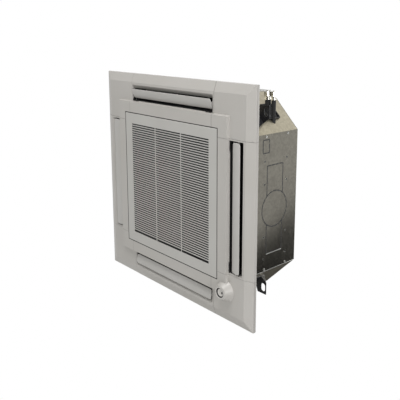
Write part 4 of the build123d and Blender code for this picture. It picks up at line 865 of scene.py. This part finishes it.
half_l, half_h = BLANK_L / 2 + SLOT_GAP, BLANK_H / 2 + SLOT_GAP
waist = math.sqrt(BLANK_R**2 - (BLANK_H / 2) ** 2)
phi = np.linspace(0, 2 * np.pi, 121)
middle = np.array([BLANK_Y, BLANK_Z])
outlines = [middle + (BLANK_R + SLOT_GAP) * np.stack([np.cos(phi), np.sin(phi)], 1)]
for s in (-1, 1):
    outlines.append(middle + [(s * waist, -half_h), (s * half_l, -half_h)])
    outlines.append(middle + [(s * half_l, -half_h), (s * half_l, half_h)])
    outlines.append(middle + [(s * half_l, half_h), (s * waist, half_h)])
corner = np.array([SMALL_L / 2 + SLOT_GAP, SMALL_H / 2 + SLOT_GAP])
signs = np.array([(-1, -1), (1, -1), (1, 1), (-1, 1), (-1, -1)])
outlines.append(np.array([SMALL_Y, SMALL_Z]) + signs * corner)
slots = [slot_bar(line) for outline in outlines for line in along(outline)]
holes = [(BODY_HALF, BLANK_Y + s * off, z) for s in (-1, 1) for off in HOLE_OFF for z in HOLE_LEVELS]
slots += [lathe([(HOLE_R, -0.6), (HOLE_R, 0.15), (0.5, 0.15)], hole, "x", 16) for hole in holes]
# The black bars and discs are painted shade for the dark inside of the slots and holes.
piece("punched_slots", join(slots), "unit", black_pp)

# %% [markdown]
# Sheet steel shines where it is folded, because the fold is round and finds a light from almost anywhere.
# Each cut corner laps over the next side with a folded edge, and the large blank has a lip at its far end.
# Both are narrow round beads that stand one to two millimetres proud. Punching leaves a burr round each
# screw hole. The beads and burrs take the screws' paler zinc, a painted highlight on top of the light their
# round shape catches.

# %% Folds, lip and burrs
FOLD_AT, FOLD_IN, FOLD_R, FOLD_LOW, FOLD_HIGH = 275.0, 0.6, 1.5, -4.0, 286.0
LIP_R, LIP_OFF = 1.7, 2.6
BURR = [(HOLE_R, -0.1), (HOLE_R + 0.2, 0.5), (BURR_R - 0.2, 0.5), (BURR_R, -0.1)]


def bead(x, y, low, high, radius):
    """A thin round bar that stands upright between two heights, with softened ends."""
    profile = [(radius * 0.5, low), (radius, low + radius), (radius, high - radius), (radius * 0.5, high)]
    return lathe(profile, (x, y, 0), "z", 16)


folds = on_each_side([bead(BODY_HALF - FOLD_IN, FOLD_AT, FOLD_LOW, FOLD_HIGH, FOLD_R)])
lip_y = BLANK_Y + half_l + LIP_OFF
folds.append(bead(BODY_HALF, lip_y, BLANK_Z - BLANK_H / 2, BLANK_Z + BLANK_H / 2, LIP_R))
folds += [lathe(BURR, hole, "x", 16, closed=True) for hole in holes]
# The paler screw zinc on the folds, lip and burrs is a painted highlight.
piece("sheet_folds", join(folds), "unit", screw_zinc)

# %% [markdown]
# The floor and the world are bright to the camera and in mirrors, as behind the object in the photograph, and
# dimmer as light, so that the panel keeps its soft shading. Galvanised steel shows what it mirrors: two
# black cards beyond the far end of the case make it darken towards that end. The cards are part of the
# stage, and only rays that metal or glass sends on see them. Square softboxes light the part from the
# north, the south, the east and above.

# %% Studio
FLOOR_Z, FLOOR_HALF = -2.4, 12.0
FLOOR_GLOW, FLOOR_SHARE = 0.85, 0.6
WORLD_LIGHT, WORLD_SEEN = 0.42, 1.0
WHITE = (1, 1, 1, 1)
AIM = (0, 0, 0.05)
SOFTBOXES = {  # place in metres, size in metres, power in watts
    "north": ((0.6, -3.2, -0.9), 1.3, 74),
    "south": ((0.9, 2.8, -1.7), 1.3, 19),
    "east": ((3.2, -0.3, -0.5), 1.0, 36),
    "top": ((0.0, 0.0, 3.4), 2.5, 60),
}
CARDS = [
    (0.55, 0.32, -0.05), (0.55, 1.9, -0.05), (1.5, 1.9, 2.2), (1.5, 0.32, 2.2),
    (0.65, 0.7, -0.05), (-0.5, 0.7, -0.05), (-0.5, 1.4, 2.2), (1.5, 1.4, 2.2),
]


def quads(name, corners, finish):
    """Flat four-sided surfaces, four corners each, as one object."""
    mesh = bpy.data.meshes.new(name)
    mesh.from_pydata(corners, [], [tuple(range(k, k + 4)) for k in range(0, len(corners), 4)])
    mesh.materials.append(finish)
    made = bpy.data.objects.new(name, mesh)
    scene.collection.objects.link(made)
    return made


def seen_or_mirrored(tree):
    """1 for a ray from the camera, or one that metal or glass sends on."""
    path = add(tree, "ShaderNodeLightPath")
    rays = {0: path.outputs["Is Camera Ray"], 1: path.outputs["Is Glossy Ray"]}
    seen = add(tree, "ShaderNodeMath", rays, operation="MAXIMUM")
    return add(tree, "ShaderNodeMath", {0: seen, 1: path.outputs["Is Transmission Ray"]}, operation="MAXIMUM")


scene.view_settings.view_transform = "Standard"

floor_paint, tree, shader = new_material("floor_pale", Base_Color=linear("#e8e8e6"), Roughness=0.9)
glow = add(tree, "ShaderNodeEmission", {"Color": WHITE, "Strength": FLOOR_GLOW})
share = add(tree, "ShaderNodeMath", {0: seen_or_mirrored(tree), 1: FLOOR_SHARE}, operation="MULTIPLY")
both = add(tree, "ShaderNodeMixShader", {0: share, 1: shader, 2: glow})
tree.links.new(both.outputs[0], tree.nodes["Material Output"].inputs["Surface"])
floor_corners = [(x * FLOOR_HALF, y * FLOOR_HALF, FLOOR_Z) for x, y in ((-1, -1), (1, -1), (1, 1), (-1, 1))]
floor = quads("floor", floor_corners, floor_paint)

cloth, _, _ = new_material("card_black", Base_Color=linear("#0c0c0c"), Roughness=0.9)
card = quads("card", CARDS, cloth)
card.visible_camera = card.visible_shadow = card.visible_diffuse = False

scene.world = bpy.data.worlds.new("studio")
scene.world.use_nodes = True
tree = scene.world.node_tree
tree.nodes.clear()
dim = add(tree, "ShaderNodeBackground", {"Color": WHITE, "Strength": WORLD_LIGHT})
white = add(tree, "ShaderNodeBackground", {"Color": WHITE, "Strength": WORLD_SEEN})
both = add(tree, "ShaderNodeMixShader", {0: seen_or_mirrored(tree), 1: dim, 2: white})
add(tree, "ShaderNodeOutputWorld", {"Surface": both})

for name, (place, size, power) in SOFTBOXES.items():
    lamp = bpy.data.lights.new(name, "AREA")
    lamp.size = size
    lamp.energy = power
    holder = bpy.data.objects.new(name, lamp)
    holder.location = place
    away = mathutils.Vector(place) - mathutils.Vector(AIM)
    holder.rotation_euler = away.to_track_quat("Z", "Y").to_euler()
    scene.collection.objects.link(holder)
    print("softbox", name, power, "W")
